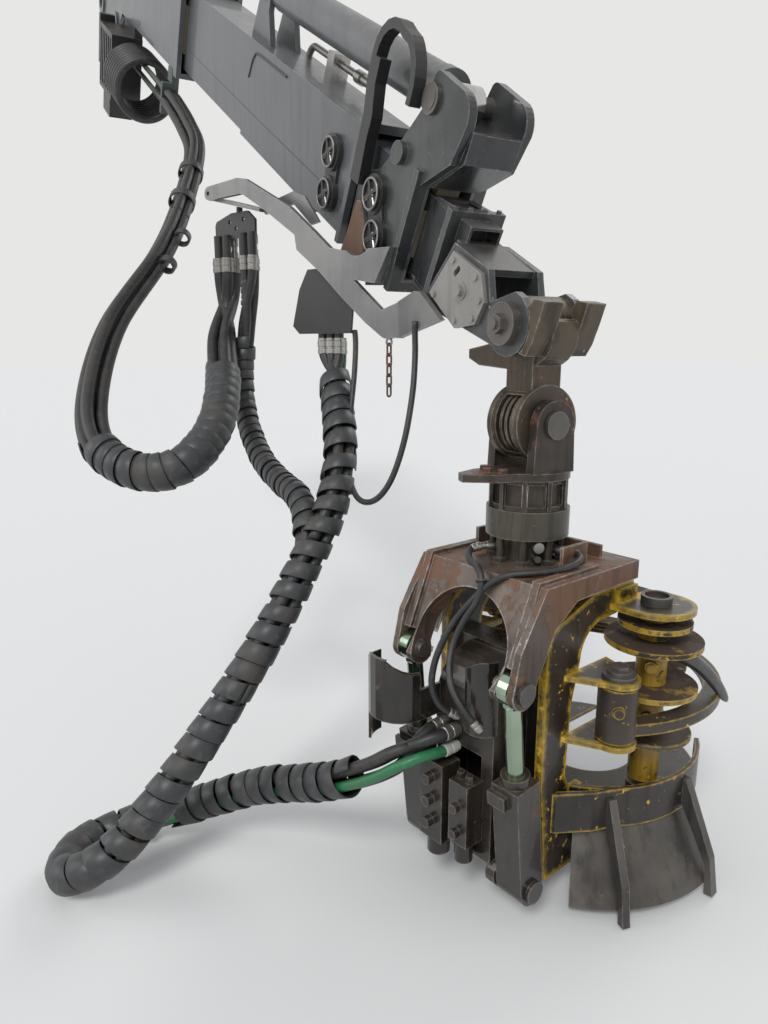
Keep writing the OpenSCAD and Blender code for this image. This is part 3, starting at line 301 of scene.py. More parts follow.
def circle(sides: int, first: np.ndarray, second: np.ndarray) -> np.ndarray:
    """Directions round a circle, cos a first + sin a second.

    Args:
        sides: How many.
        first: Unit vector where the angle a is 0, or one for each point of a path.
        second: Unit vector where it is a quarter turn, likewise.

    Returns:
        One row a side, for each point.
    """
    a = np.linspace(0.0, 2 * np.pi, sides, endpoint=False)[:, None]
    return np.cos(a) * first[..., None, :] + np.sin(a) * second[..., None, :]


def tube(name: str, path: np.ndarray, radius: float | np.ndarray,
         sides: int = 16) -> bpy.types.Object:
    """A closed tube round a path.

    The surface is path(s) + r(s) (cos a side(s) + sin a up(s)), closed by a flat cap at each end.

    Args:
        name: The piece's name.
        path: Points along the middle.
        radius: The radius, or one for each point.
        sides: Corners round the tube.

    Returns:
        The tube with a UV map in metres.
    """
    r = np.broadcast_to(np.asarray(radius, float), len(path))
    points = path[:, None, :] + r[:, None, None] * circle(sides, *frames_along(path))
    obj = mesh_piece(name, points.reshape(-1, 3), capped_faces(len(path), sides))
    add_lengthwise_map(obj, sides, arc_length(path), float(2 * np.pi * r.mean()))
    return obj


def turned(name: str, profile: list[tuple[float, float]], place: np.ndarray, axis: np.ndarray,
           sides: int = 32, closed: bool = False) -> bpy.types.Object:
    """A turned body: its profile carried round an axis, point = place + h n + r ring(a).

    Args:
        name: The piece's name.
        profile: Pairs of radius and height, upwards along the axis.
        place: Where height 0 lies on the axis.
        axis: Direction of the axis.
        sides: Corners round it.
        closed: Whether the profile is a closed section, as of a ring, given anticlockwise.

    Returns:
        The body.
    """
    n = np.asarray(axis, float) / np.linalg.norm(axis)
    e = np.cross(n, UPWARDS) if abs(n[2]) < 0.9 else np.cross(n, [1.0, 0.0, 0.0])
    e /= np.linalg.norm(e)
    ring = circle(sides, e, np.cross(n, e))
    flat = np.array(profile, float)
    points = np.asarray(place) + flat[:, None, 1:2] * n + flat[:, None, 0:1] * ring[None]
    if closed:
        j, last = np.arange(sides), (len(flat) - 1) * sides
        k = (j + 1) % sides
        faces = grid_faces(len(flat), sides).tolist()
        faces += np.stack([last + j, last + k, k, j], axis=1).tolist()
    else:
        faces = capped_faces(len(flat), sides)
    return mesh_piece(name, points.reshape(-1, 3), faces, smooth=False)


def clamp_ring(name: str, place: np.ndarray, axis: np.ndarray, inner: float, outer: float,
               half: float) -> bpy.types.Object:
    """A band whose section, a rectangle with cut corners, is carried once round the axis.

    Args:
        name: The piece's name.
        place: The band's middle.
        axis: Direction of the axis.
        inner: Radius of the hole.
        outer: Radius of the outside.
        half: Half of its width along the axis.

    Returns:
        The band.
    """
    e = min(0.003, (outer - inner) / 3)
    profile = [(inner, -half + e), (inner + e, -half), (outer - e, -half), (outer, -half + e),
               (outer, half - e), (outer - e, half), (inner + e, half), (inner, half - e)]
    return turned(name, profile, place, axis, 40, closed=True)


# ---------------------------------------------------------------- finishes


class Wiring:
    """Short calls that add and join nodes in one tree."""

    def __init__(self, tree: bpy.types.NodeTree) -> None:
        """Keeps the tree whose nodes are added."""
        self.tree = tree

    def add(self, kind: str, **settings: object) -> bpy.types.Node:
        """Adds a node.

        Args:
            kind: The node's type.
            **settings: Its plain settings.

        Returns:
            The node.
        """
        node = self.tree.nodes.new(kind)
        for key, value in settings.items():
            setattr(node, key, value)
        return node

    def join(self, source: bpy.types.NodeSocket, target: bpy.types.NodeSocket) -> None:
        """Joins an output to an input."""
        self.tree.links.new(source, target)

    def put(self, node: bpy.types.Node, slot: int | str, value: object) -> None:
        """Sets an input, or joins it where the value is a socket.

        Args:
            node: The node.
            slot: The input's number or name.
            value: A plain value, or the output that feeds it.
        """
        if isinstance(value, bpy.types.NodeSocket):
            self.join(value, node.inputs[slot])
        else:
            node.inputs[slot].default_value = value

    def filled(self, kind: str, values: dict, **settings: object) -> bpy.types.Node:
        """Adds a node with its inputs set or joined.

        Args:
            kind: The node's type.
            values: The value or the output for each input.
            **settings: Its plain settings.

        Returns:
            The node.
        """
        node = self.add(kind, **settings)
        for slot, value in values.items():
            self.put(node, slot, value)
        return node

    def math(self, operation: str, a: object, b: object, clamp: bool = False) -> object:
        """The result of one sum on two values or sockets."""
        settings = {"operation": operation, "use_clamp": clamp}
        return self.filled("ShaderNodeMath", {0: a, 1: b}, **settings).outputs[0]

    def noise(self, vector: object, scale: float, detail: float, rough: float = 0.55) -> object:
        """Noise from 0 to 1 at a scale in lumps a metre."""
        values = {"Vector": vector, "Scale": scale, "Detail": detail, "Roughness": rough}
        return self.filled("ShaderNodeTexNoise", values).outputs["Fac"]

    def span(self, value: object, low: object, high: object) -> object:
        """A value carried smoothly from low and high to 0 and 1, and held at its ends.

        Args:
            value: The value.
            low: Where the result is 0.
            high: Where it is 1.

        Returns:
            The result: t^2 (3 - 2t) with t the share of the way from low to high.
        """
        values = {0: value, 1: low, 2: high, 3: 0.0, 4: 1.0}
        settings = {"interpolation_type": "SMOOTHSTEP"}
        return self.filled("ShaderNodeMapRange", values, **settings).outputs[0]

    def mix(self, factor: object, a: object, b: object) -> object:
        """Colour a, turning into colour b as the factor rises."""
        return self.filled("ShaderNodeMix", {0: factor, 6: a, 7: b}, data_type="RGBA").outputs[2]

    def bump(self, height: object, strength: float, distance: float) -> object:
        """The normal raised by a height, whose full step is the distance in metres."""
        values = {"Strength": strength, "Distance": distance, "Height": height}
        return self.filled("ShaderNodeBump", values).outputs[0]


def rgba(colour: Point) -> tuple[float, float, float, float]:
    """A colour with full cover."""
    return (*colour, 1.0)


def new_material(name: str) -> tuple[bpy.types.Material, Wiring, bpy.types.Node]:
    """A new material.

    Args:
        name: Its name.

    Returns:
        The material, the wiring of its tree and its shader.
    """
    material = bpy.data.materials.new(name)
    material.use_nodes = True
    tree = material.node_tree
    return material, Wiring(tree), tree.nodes["Principled BSDF"]


@dataclass(frozen=True)
class Weathering:
    """Masks for a weathered surface, as one group that every steel finish shares.

    An edge shows where 1.3 lean + 1.8 (chips - 0.5) passes 0.62 - 0.6 wear; the lean is how far
    the normal rounded over a small radius turns away from the true one, and the chips are noise.
    Rust shows where 0.6 broad noise + 0.4 fine noise passes 0.74 - 0.4 cover. Dust is the upward
    share of the normal plus half the broad noise, broken up by more noise. Grime runs down in
    streaks, which are noise drawn out twelve times along the height. Scales are in lumps a metre.
    """

    chip_scale: float = 38.0
    broad_scale: float = 5.0
    patch_scale: float = 22.0
    dust_scale: float = 14.0
    mottle_scale: float = 3.2
    grain_scale: float = 260.0
    streak_scale: Point = (26.0, 26.0, 2.2)
    lean_share: float = 1.3
    chip_share: float = 1.8
    edge_start: float = 0.62
    edge_reach: float = 0.6
    edge_fade: float = 0.05
    broad_share: float = 0.6
    rust_start: float = 0.74
    rust_reach: float = 0.4
    rust_fade: float = 0.045

    def build(self) -> bpy.types.NodeTree:
        """Builds the group.

        Returns:
            The group, with its four settings as inputs and its six masks as outputs.
        """
        tree = bpy.data.node_groups.new("weathering", "ShaderNodeTree")
        for label, value in (("Edge Radius", 0.006), ("Edge Wear", 0.5), ("Rust Cover", 0.3),
                             ("Dust Cover", 0.4)):
            socket = tree.interface.new_socket(label, in_out="INPUT", socket_type="NodeSocketFloat")
            socket.default_value = value
        for label in ("Edge", "Rust", "Dust", "Mottle", "Streak", "Height"):
            tree.interface.new_socket(label, in_out="OUTPUT", socket_type="NodeSocketFloat")
        w = Wiring(tree)
        given, leave = dict(w.add("NodeGroupInput").outputs.items()), w.add("NodeGroupOutput")
        place = w.add("ShaderNodeTexCoord").outputs["Object"]
        given["place"] = place
        given["normal"] = w.add("ShaderNodeNewGeometry").outputs["Normal"]
        given["broad"] = w.noise(place, self.broad_scale, 4.0)
        stretch = {0: place, 1: self.streak_scale}
        drawn = w.filled("ShaderNodeVectorMath", stretch, operation="MULTIPLY").outputs[0]
        masks = {
            "Edge": self.edge(w, given),
            "Rust": self.rust(w, given),
            "Dust": self.dust(w, given),
            "Mottle": w.span(w.noise(place, self.mottle_scale, 6.0, 0.6), 0.3, 0.7),
            "Streak": w.span(w.noise(drawn, 1.0, 5.0, 0.6), 0.46, 0.66),
            "Height": w.noise(place, self.grain_scale, 3.0),
        }
        for label, mask in masks.items():
            w.put(leave, label, mask)
        return tree

    def edge(self, w: Wiring, given: dict[str, object]) -> object:
        """The mask of rubbed edges.

        Args:
            w: The group's wiring.
            given: Its inputs, with the place, the normal and the broad noise.

        Returns:
            The mask.
        """
        bevel = w.filled("ShaderNodeBevel", {"Radius": given["Edge Radius"]}, samples=4)
        dot = w.filled("ShaderNodeVectorMath", {0: bevel.outputs[0], 1: given["normal"]},
                       operation="DOT_PRODUCT")
        lean = w.math("MULTIPLY", w.math("SUBTRACT", 1.0, dot.outputs["Value"]), self.lean_share)
        chips = w.math("SUBTRACT", w.noise(given["place"], self.chip_scale, 5.0, 0.65), 0.5)
        rubbed = w.math("ADD", lean, w.math("MULTIPLY", chips, self.chip_share))
        worn = w.math("MULTIPLY", given["Edge Wear"], self.edge_reach)
        start = w.math("SUBTRACT", self.edge_start, worn)
        return w.span(rubbed, start, w.math("ADD", start, self.edge_fade))

    def rust(self, w: Wiring, given: dict[str, object]) -> object:
        """The mask of rust patches.

        Args:
            w: The group's wiring.
            given: Its inputs, with the place, the normal and the broad noise.

        Returns:
            The mask.
        """
        fine = w.noise(given["place"], self.patch_scale, 6.0, 0.7)
        fine = w.math("MULTIPLY", fine, 1 - self.broad_share)
        patch = w.math("ADD", w.math("MULTIPLY", given["broad"], self.broad_share), fine)
        cover = w.math("MULTIPLY", given["Rust Cover"], self.rust_reach)
        start = w.math("SUBTRACT", self.rust_start, cover)
        return w.span(patch, start, w.math("ADD", start, self.rust_fade))

    def dust(self, w: Wiring, given: dict[str, object]) -> object:
        """The mask of settled dust.

        Args:
            w: The group's wiring.
            given: Its inputs, with the place, the normal and the broad noise.

        Returns:
            The mask.
        """
        up = w.filled("ShaderNodeSeparateXYZ", {0: given["normal"]}).outputs["Z"]
        settled = w.math("ADD", w.span(up, -0.3, 0.9), w.math("MULTIPLY", given["broad"], 0.5))
        dusty = w.math("MULTIPLY", w.span(settled, 0.35, 1.3), given["Dust Cover"])
        gaps = w.span(w.noise(given["place"], self.dust_scale, 5.0), 0.3, 0.65)
        return w.math("MULTIPLY", dusty, gaps, clamp=True)


@dataclass(frozen=True)
class WeatheredSteel:
    """A painted or bare steel finish with worn edges, rust patches and dust."""

    name: str
    paint: Point
    faded: Point
    worn: Point = (0.16, 0.15, 0.145)
    rust: Point = (0.085, 0.045, 0.028)
    dust: Point = (0.17, 0.135, 0.10)
    grime: Point = (0.030, 0.028, 0.026)
    edge_radius: float = 0.006
    edge_wear: float = 0.4
    rust_cover: float = 0.22
    dust_cover: float = 0.25
    roughness: float = 0.34
    metallic: float = 0.0
    coat: float = 0.0
    grain: float = 0.12
    streaks: float = 0.15

    def build(self, weathering: bpy.types.NodeTree) -> bpy.types.Material:
        """The finish as a material.

        Args:
            weathering: The group that gives the masks.

        Returns:
            A material whose colour goes paint, rust, running grime, worn edge, dust, from below
            to the top. Its roughness is the finish's own - 0.08, plus 0.16 mottle, 0.25 rust and
            0.4 dust, and its height is the grain less 0.8 rust.
        """
        material, w, shader = new_material(self.name)
        settings = {"Edge Radius": self.edge_radius, "Edge Wear": self.edge_wear,
                    "Rust Cover": self.rust_cover, "Dust Cover": self.dust_cover}
        mask = w.filled("ShaderNodeGroup", settings, node_tree=weathering).outputs
        colour = w.mix(mask["Mottle"], rgba(self.paint), rgba(self.faded))
        streak = w.math("MULTIPLY", mask["Streak"], self.streaks)
        for cover, over in ((mask["Rust"], self.rust), (streak, self.grime),
                            (mask["Edge"], self.worn), (mask["Dust"], self.dust)):
            colour = w.mix(cover, colour, rgba(over))
        rough = self.roughness - 0.08
        for label, share in (("Mottle", 0.16), ("Rust", 0.25), ("Dust", 0.4)):
            more = w.math("MULTIPLY", mask[label], share)
            rough = w.math("ADD", rough, more, clamp=label == "Dust")
        if self.metallic:
            lost = w.math("MULTIPLY", mask["Rust"], self.metallic)
            w.put(shader, "Metallic", w.math("SUBTRACT", self.metallic, lost, clamp=True))
        height = w.math("ADD", mask["Height"], w.math("MULTIPLY", mask["Rust"], -0.8))
        w.put(shader, "Base Color", colour)
        w.put(shader, "Roughness", rough)
        w.put(shader, "Coat Weight", self.coat)
        w.put(shader, "Normal", w.bump(height, self.grain, 0.002))
        return material


@dataclass(frozen=True)
class HoseRubber:
    """Black rubber with a fine weave, scuffs and dried mud, laid along a tube's own map."""

    name: str
    colour: Point = (0.018, 0.018, 0.019)
    scuffed: Point = (0.055, 0.052, 0.05)
    mud: Point = (0.11, 0.09, 0.07)
    mud_cover: float = 0.3
    roughness: float = 0.42
    thread: float = 0.5
    threads_a_metre: float = 160.0

    def build(self) -> bpy.types.Material:
        """Builds the rubber, its weave a slanting wave over the tube's map.

        Returns:
            The material.
        """
        material, w, shader = new_material(self.name)
        place = w.add("ShaderNodeTexCoord").outputs["Object"]
        scuffs = w.span(w.noise(place, 30.0, 6.0, 0.7), 0.5, 0.75)
        patches = w.span(w.noise(place, 9.0, 6.0, 0.65), 0.45, 0.7)
        mud = w.math("MULTIPLY", patches, self.mud_cover)
        colour = w.mix(scuffs, rgba(self.colour), rgba(self.scuffed))
        rough = w.math("ADD", self.roughness, w.math("MULTIPLY", mud, 0.5), clamp=True)
        along = w.add("ShaderNodeUVMap", uv_map="lengthwise").outputs[0]
        wave = w.filled("ShaderNodeTexWave", {"Vector": along, "Scale": self.threads_a_metre},
                        wave_type="BANDS", bands_direction="DIAGONAL")
        height = w.math("ADD", wave.outputs["Fac"], w.noise(place, 300.0, 2.0))
        w.put(shader, "Base Color", w.mix(mud, colour, rgba(self.mud)))
        w.put(shader, "Roughness", rough)
        w.put(shader, "Normal", w.bump(height, self.thread * 0.4, 0.0006))
        return material


class Finish(Enum):
    """The finishes that the part is dressed in."""

    JIB_PAINT = WeatheredSteel(
        "jib_grey", (0.068, 0.073, 0.08), (0.108, 0.114, 0.123), worn=(0.27, 0.27, 0.27),
        rust=(0.07, 0.045, 0.032), dust=(0.18, 0.165, 0.145), edge_wear=0.3, rust_cover=0.04,
        dust_cover=0.22, coat=0.25, streaks=0.25)
    BARREL_PAINT = WeatheredSteel(
        "barrel_grey", (0.085, 0.09, 0.098), (0.125, 0.131, 0.14), edge_wear=0.3, rust_cover=0.1,
        roughness=0.32, coat=0.2, streaks=0.2)
    BLACK_PAINT = WeatheredSteel(
        "black_paint", (0.016, 0.016, 0.017), (0.034, 0.033, 0.032), worn=(0.12, 0.115, 0.11),
        edge_wear=0.32, rust_cover=0.2, dust_cover=0.35, roughness=0.4)
    TIP_PAINT = WeatheredSteel(
        "tip_grey", (0.026, 0.028, 0.03), (0.068, 0.069, 0.07), worn=(0.3, 0.29, 0.28),
        rust=(0.13, 0.065, 0.038), grime=(0.01, 0.01, 0.01), edge_radius=0.007, edge_wear=0.46,
        roughness=0.32, coat=0.2, streaks=0.4)
    GUIDE_STEEL = WeatheredSteel(
        "guide_steel", (0.155, 0.155, 0.158), (0.245, 0.24, 0.235), worn=(0.38, 0.37, 0.36),
        rust=(0.1, 0.062, 0.042), edge_wear=0.42, rust_cover=0.24, roughness=0.36, metallic=0.45,
        grain=0.25)
    COVER_STEEL = WeatheredSteel(
        "cover_steel", (0.22, 0.21, 0.2), (0.31, 0.295, 0.28), worn=(0.42, 0.4, 0.38),
        rust=(0.12, 0.07, 0.045), dust_cover=0.3, roughness=0.42, metallic=0.3, grain=0.25)
    LINK_STEEL = WeatheredSteel(
        "link_bronze", (0.05, 0.041, 0.031), (0.115, 0.088, 0.06), worn=(0.34, 0.29, 0.23),
        rust=(0.13, 0.055, 0.028), grime=(0.012, 0.01, 0.008), edge_radius=0.01, edge_wear=0.5,
        rust_cover=0.42, dust_cover=0.15, metallic=0.4, grain=0.35, streaks=0.55)
    CAGE_STEEL = WeatheredSteel(
        "cage_steel", (0.032, 0.027, 0.023), (0.085, 0.066, 0.052), worn=(0.3, 0.27, 0.24),
        rust=(0.15, 0.052, 0.026), grime=(0.012, 0.01, 0.008), edge_wear=0.5, rust_cover=0.5,
        dust_cover=0.15, metallic=0.4, grain=0.35, streaks=0.5)
    RING_STEEL = WeatheredSteel(
        "ring_olive", (0.048, 0.046, 0.036), (0.098, 0.088, 0.066), worn=(0.32, 0.3, 0.26),
        rust=(0.11, 0.052, 0.03), grime=(0.014, 0.012, 0.01), edge_wear=0.46, rust_cover=0.38,
        dust_cover=0.2, metallic=0.4, grain=0.3, streaks=0.45)
    FRAME_STEEL = WeatheredSteel(
        "frame_steel", (0.07, 0.048, 0.037), (0.17, 0.13, 0.105), worn=(0.48, 0.46, 0.44),
        rust=(0.15, 0.072, 0.04), grime=(0.022, 0.017, 0.014), edge_radius=0.01, edge_wear=0.44,
        rust_cover=0.68, dust_cover=0.1, roughness=0.32, metallic=0.3, grain=0.4, streaks=0.45)
    CHAIN_STEEL = WeatheredSteel(
        "chain_steel", (0.09, 0.072, 0.056), (0.14, 0.1, 0.075), rust=(0.16, 0.08, 0.045),
        rust_cover=0.6, dust_cover=0.2, roughness=0.5, metallic=0.4)
    HEAD_OILY = WeatheredSteel(
        "head_oily", (0.01, 0.009, 0.008), (0.036, 0.029, 0.023), worn=(0.2, 0.165, 0.13),
        rust=(0.095, 0.05, 0.028), grime=(0.006, 0.005, 0.005), edge_radius=0.01, edge_wear=0.46,
        rust_cover=0.36, dust_cover=0.18, roughness=0.26, coat=0.3, streaks=0.6)
    SIDE_PLATE = WeatheredSteel(
        "side_plate", (0.012, 0.01, 0.009), (0.05, 0.034, 0.022), worn=(0.66, 0.42, 0.03),
        rust=(0.44, 0.275, 0.026), grime=(0.01, 0.008, 0.007), edge_radius=0.04, edge_wear=0.66,
        rust_cover=0.33, dust_cover=0.15, roughness=0.32, coat=0.15, streaks=0.6)
    PAN_BLACK = WeatheredSteel(
        "pan_black", (0.014, 0.013, 0.012), (0.05, 0.04, 0.031), worn=(0.58, 0.37, 0.035),
        rust=(0.5, 0.32, 0.035), grime=(0.01, 0.008, 0.007), edge_radius=0.014, edge_wear=0.6,
        rust_cover=0.31, roughness=0.36, streaks=0.5)
    ARM_YELLOW = WeatheredSteel(
        "arm_yellow", (0.52, 0.325, 0.028), (0.3, 0.175, 0.022), worn=(0.6, 0.38, 0.035),
        rust=(0.026, 0.02, 0.016), dust=(0.062, 0.04, 0.028), grime=(0.02, 0.016, 0.013),
        edge_radius=0.008, edge_wear=0.62, rust_cover=0.62, dust_cover=2.2, roughness=0.36,
        grain=0.3, streaks=0.5)
    ARM_DISC = WeatheredSteel(
        "arm_disc", (0.016, 0.013, 0.011), (0.055, 0.04, 0.03), worn=(0.58, 0.37, 0.035),
        rust=(0.085, 0.045, 0.026), edge_radius=0.012, edge_wear=0.62, rust_cover=0.35,
        roughness=0.36)
    SKID_STEEL = WeatheredSteel(
        "skid_steel", (0.06, 0.056, 0.052), (0.14, 0.13, 0.12), worn=(0.3, 0.28, 0.26),
        rust=(0.085, 0.052, 0.036), grime=(0.018, 0.015, 0.013), edge_wear=0.44, rust_cover=0.4,
        dust_cover=0.3, roughness=0.36, metallic=0.35, grain=0.3, streaks=0.5)
    KNIFE_STEEL = WeatheredSteel(
        "knife_steel", (0.1, 0.1, 0.1), (0.18, 0.176, 0.172), worn=(0.36, 0.35, 0.34),
        rust=(0.075, 0.05, 0.038), dust_cover=0.15, roughness=0.26, metallic=0.55)
    BRIGHT_STEEL = WeatheredSteel(
        "bright_steel", (0.42, 0.41, 0.39), (0.28, 0.27, 0.25), worn=(0.5, 0.49, 0.47),
        edge_wear=0.2, dust_cover=0.2, roughness=0.32, metallic=0.85)
    PIN_STEEL = WeatheredSteel(
        "pin_steel", (0.1, 0.093, 0.086), (0.17, 0.158, 0.145), worn=(0.3, 0.28, 0.26),
        rust_cover=0.4, dust_cover=0.3, roughness=0.4, metallic=0.6)
    CHROME = WeatheredSteel(
        "rod_chrome", (0.6, 0.6, 0.6), (0.5, 0.5, 0.5), edge_wear=0.1, rust_cover=0.02,
        dust_cover=0.12, roughness=0.14, metallic=1.0, grain=0.02)
    # Chrome of the tilt rods whose green tint is a painted reflection of grass, not the steel's own
    # colour.
    TILT_CHROME_PAINTED_GRASS_REFLECTION = WeatheredSteel(
        "tilt_chrome_painted_reflection", (0.37, 0.46, 0.36), (0.26, 0.34, 0.25), edge_wear=0.1, rust_cover=0.06,
        dust_cover=0.1, roughness=0.14, metallic=0.95, grain=0.02, streaks=0.2)
    PIPE_PAINT = WeatheredSteel(
        "pipe_green", (0.06, 0.08, 0.072), (0.1, 0.125, 0.115), edge_wear=0.3, rust_cover=0.15,
        dust_cover=0.3, metallic=0.3)
    PAD = WeatheredSteel(
        "slide_pad", (0.24, 0.2, 0.13), (0.17, 0.145, 0.1), edge_wear=0.2, rust_cover=0.05,
        dust_cover=0.3, roughness=0.6)
    ADJUSTER = WeatheredSteel(
        "adjuster_black", (0.018, 0.018, 0.019), (0.04, 0.04, 0.041), worn=(0.3, 0.29, 0.28),
        edge_radius=0.003, edge_wear=0.35, rust_cover=0.1, dust_cover=0.15)
    RUSTY_PLATE = WeatheredSteel(
        "rusty_plate", (0.105, 0.052, 0.03), (0.165, 0.085, 0.048), worn=(0.3, 0.24, 0.19),
        rust=(0.2, 0.085, 0.04), rust_cover=0.6, dust_cover=0.1, roughness=0.5, grain=0.4)
    WHITE_COLLAR = WeatheredSteel(
        "white_collar", (0.55, 0.56, 0.53), (0.42, 0.43, 0.4), edge_wear=0.2, rust_cover=0.1,
        dust_cover=0.35, roughness=0.45)
    HOSE = HoseRubber("hose_rubber", (0.02, 0.02, 0.021), (0.06, 0.057, 0.054))
    SPARE_HOSE = HoseRubber("spare_rubber", (0.018, 0.018, 0.019), (0.05, 0.048, 0.046), thread=0.0)
    WRAP = HoseRubber(
        "wrap_rubber", (0.038, 0.04, 0.042), (0.085, 0.084, 0.082), mud_cover=0.35, thread=0.3)
    GREEN_HOSE = HoseRubber("green_hose", (0.02, 0.16, 0.06), (0.05, 0.22, 0.11), roughness=0.35)


NODE_FINISH: dict[Finish, tuple[str, ...]] = {
    Finish.JIB_PAINT: ("jib_sleeve", "root_lugs", "stage_one", "stage_two"),
    Finish.BARREL_PAINT: ("cylinder_barrel",),
    Finish.BLACK_PAINT: ("hose_box", "rear_hanger", "front_hanger", "hose_arch"),
    Finish.PIPE_PAINT: ("feed_pipes",),
    Finish.SPARE_HOSE: ("hose_coil",),
    Finish.ADJUSTER: ("stage_one_adjusters", "tip_adjusters"),
    Finish.TIP_PAINT: ("tip_bracket", "stage_three"),
    Finish.GUIDE_STEEL: ("guide_arm",),
    Finish.COVER_STEEL: ("brake_covers",),
    Finish.LINK_STEEL: ("swing_link", "brake_discs"),
    Finish.CAGE_STEEL: ("rotator_body",),
    Finish.RING_STEEL: ("turn_ring",),
    Finish.FRAME_STEEL: ("tilt_frame",),
    Finish.CHAIN_STEEL: ("lifting_chain",),
    Finish.HEAD_OILY: (
        "head_frame", "hose_hoods", "valve_block", "tilt_barrel_near", "tilt_barrel_far"),
    Finish.SIDE_PLATE: ("side_plates",),
    Finish.PAN_BLACK: ("saw_pan",),
    Finish.ARM_YELLOW: ("upper_arm_near", "upper_arm_far"),
    Finish.ARM_DISC: ("lower_arm_near", "lower_arm_far"),
    Finish.SKID_STEEL: ("saw_skids",),
    Finish.BRIGHT_STEEL: ("frame_fittings", "steel_pipe"),
    Finish.PIN_STEEL: ("barrel_pin", "rod_pin", "link_pin", "cross_pin", "tilt_pins", "arm_pins"),
    Finish.CHROME: ("cylinder_rod",),
    Finish.TILT_CHROME_PAINTED_GRASS_REFLECTION: ("tilt_rod_near", "tilt_rod_far"),
    Finish.PAD: ("sleeve_pads", "stage_one_pads", "stage_two_pads"),
}


@dataclass
class Wardrobe:
    """Builds each finish once and puts it on nodes and pieces."""

    weathering: bpy.types.NodeTree
    made: dict[Finish, bpy.types.Material] = field(default_factory=dict)

    def material(self, finish: Finish) -> bpy.types.Material:
        """The material of a finish, built when first asked for.

        Args:
            finish: The finish.

        Returns:
            Its material.
        """
        if finish not in self.made:
            kind = finish.value
            given = (self.weathering,) if isinstance(kind, WeatheredSteel) else ()
            self.made[finish] = kind.build(*given)
        return self.made[finish]

    def dress(self, obj: bpy.types.Object, finish: Finish) -> None:
        """Puts a finish on every slot of an object.

        Args:
            obj: The object.
            finish: The finish.
        """
        if not obj.data.materials:
            obj.data.materials.append(None)
        for k in range(len(obj.data.materials)):
            obj.data.materials[k] = self.material(finish)

    def fit(self, obj: bpy.types.Object, finish: Finish, body: str) -> None:
        """Dresses a piece and puts it on one body."""
        self.dress(obj, finish)
        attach(obj, body)

    def dress_nodes(self, nodes: dict[str, bpy.types.Object]) -> None:
        """Dresses every CAD node by the table of finishes.

        Args:
            nodes: The nodes by their names.
        """
        for finish, names in NODE_FINISH.items():
            for name in names:
                self.dress(nodes[name], finish)


@dataclass
class Piece:
    """A sub-assembly of the scene, dressed from the wardrobe."""

    wardrobe: Wardrobe


# ---------------------------------------------------------------- hoses


def follow(piece: bpy.types.Object, first: str, second: str, route: np.ndarray,
           margin: float = 0.12) -> None:
    """Puts a piece on one body, or bends it between two over the middle of its route.

    Args:
        piece: The piece.
        first: The body at the start of the route.
        second: The body at its end.
        route: Points along the piece. Not used.
        margin: Share of the way at each end that was to stay straight. Not used.
    """
    if first == second:
        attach(piece, first)
    else:
        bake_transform(piece)


@dataclass(frozen=True)
class Strip:
    """A flat rubber strip wound round a bundle, from one share of the route to another."""

    radius: float
    pitch: float
    width: float
    begin: float
    end: float
    thick: float = 0.0045
    lean: float = 0.05
    steps_a_turn: int = 26
    cut_edge: float = 0.0015
    sway: float = 0.07
    ripple: float = 0.001

    def section(self) -> np.ndarray:
        """The strip's section, a flat band with cut edges and a low crown.

        Returns:
            Pairs of place along the bundle and height over its radius.
        """
        half, e, q = self.width / 2, self.cut_edge, self.thick
        return np.array([(-half, 0.25 * q), (-half + e, 0.0), (half - e, 0.0), (half, 0.25 * q),
                         (half, 0.75 * q), (half - e, q), (0.0, 1.12 * q), (-half + e, q),
                         (-half, 0.75 * q)])

    def mesh(self, name: str, route: np.ndarray, low: float,
             high: float) -> bpy.types.Object | None:
        """The part of the strip that lies between two shares of the route.

        After t turns the strip's middle is at s = pitch (t + 0.07 sin 1.7 t) along the route and
        at the angle 2 pi t round it. A corner (w, q) of its section lies at route(s + w) plus
        (radius + q + lean w + 0.001 sin 2.3 t) along the direction of that angle.

        Args:
            name: The piece's name.
            route: Points an even step apart along the bundle's middle.
            low: Share of the route where this piece may start.
            high: Share where it must end.

        Returns:
            The piece, or None where no strip lies there.
        """
        run = arc_length(route)
        origin = self.begin * run[-1]
        start, stop = max(low, self.begin) * run[-1], min(high, self.end) * run[-1]
        if stop - start < 2 * self.pitch:
            return None
        t = np.arange((start - origin) / self.pitch, (stop - origin) / self.pitch,
                      1 / self.steps_a_turn)
        section = self.section()
        middle = origin + self.pitch * (t + self.sway * np.sin(1.7 * t))
        at = middle[:, None] + section[None, :, 0]
        path, side, up = (
            np.stack([np.interp(at, run, line[:, k]) for k in range(3)], axis=-1)
            for line in (route, *frames_along(route)))
        a = (2 * np.pi * t)[:, None, None]
        out = self.radius + section[None, :, 1] + self.lean * section[None, :, 0]
        out = (out + self.ripple * np.sin(2.3 * t)[:, None])[..., None]
        points = path + out * (np.cos(a) * side + np.sin(a) * up)
        count = len(section)
        piece = mesh_piece(name, points.reshape(-1, 3), capped_faces(len(t), count))
        add_lengthwise_map(piece, count, t * 2 * np.pi * self.radius, 2 * self.width)
        return piece


@dataclass(frozen=True)
class Line:
    """One hose of a bundle: its radius, its finish, its places at both ends and their fittings.

    The places are offsets in metres in the part's frame; None keeps the hose on the bundle's
    circle, and leaves that end without a collar.
    """

    radius: float
    finish: Finish = Finish.HOSE
    from_place: Point | None = None
    to_place: Point | None = None
    collar: Finish = Finish.BRIGHT_STEEL


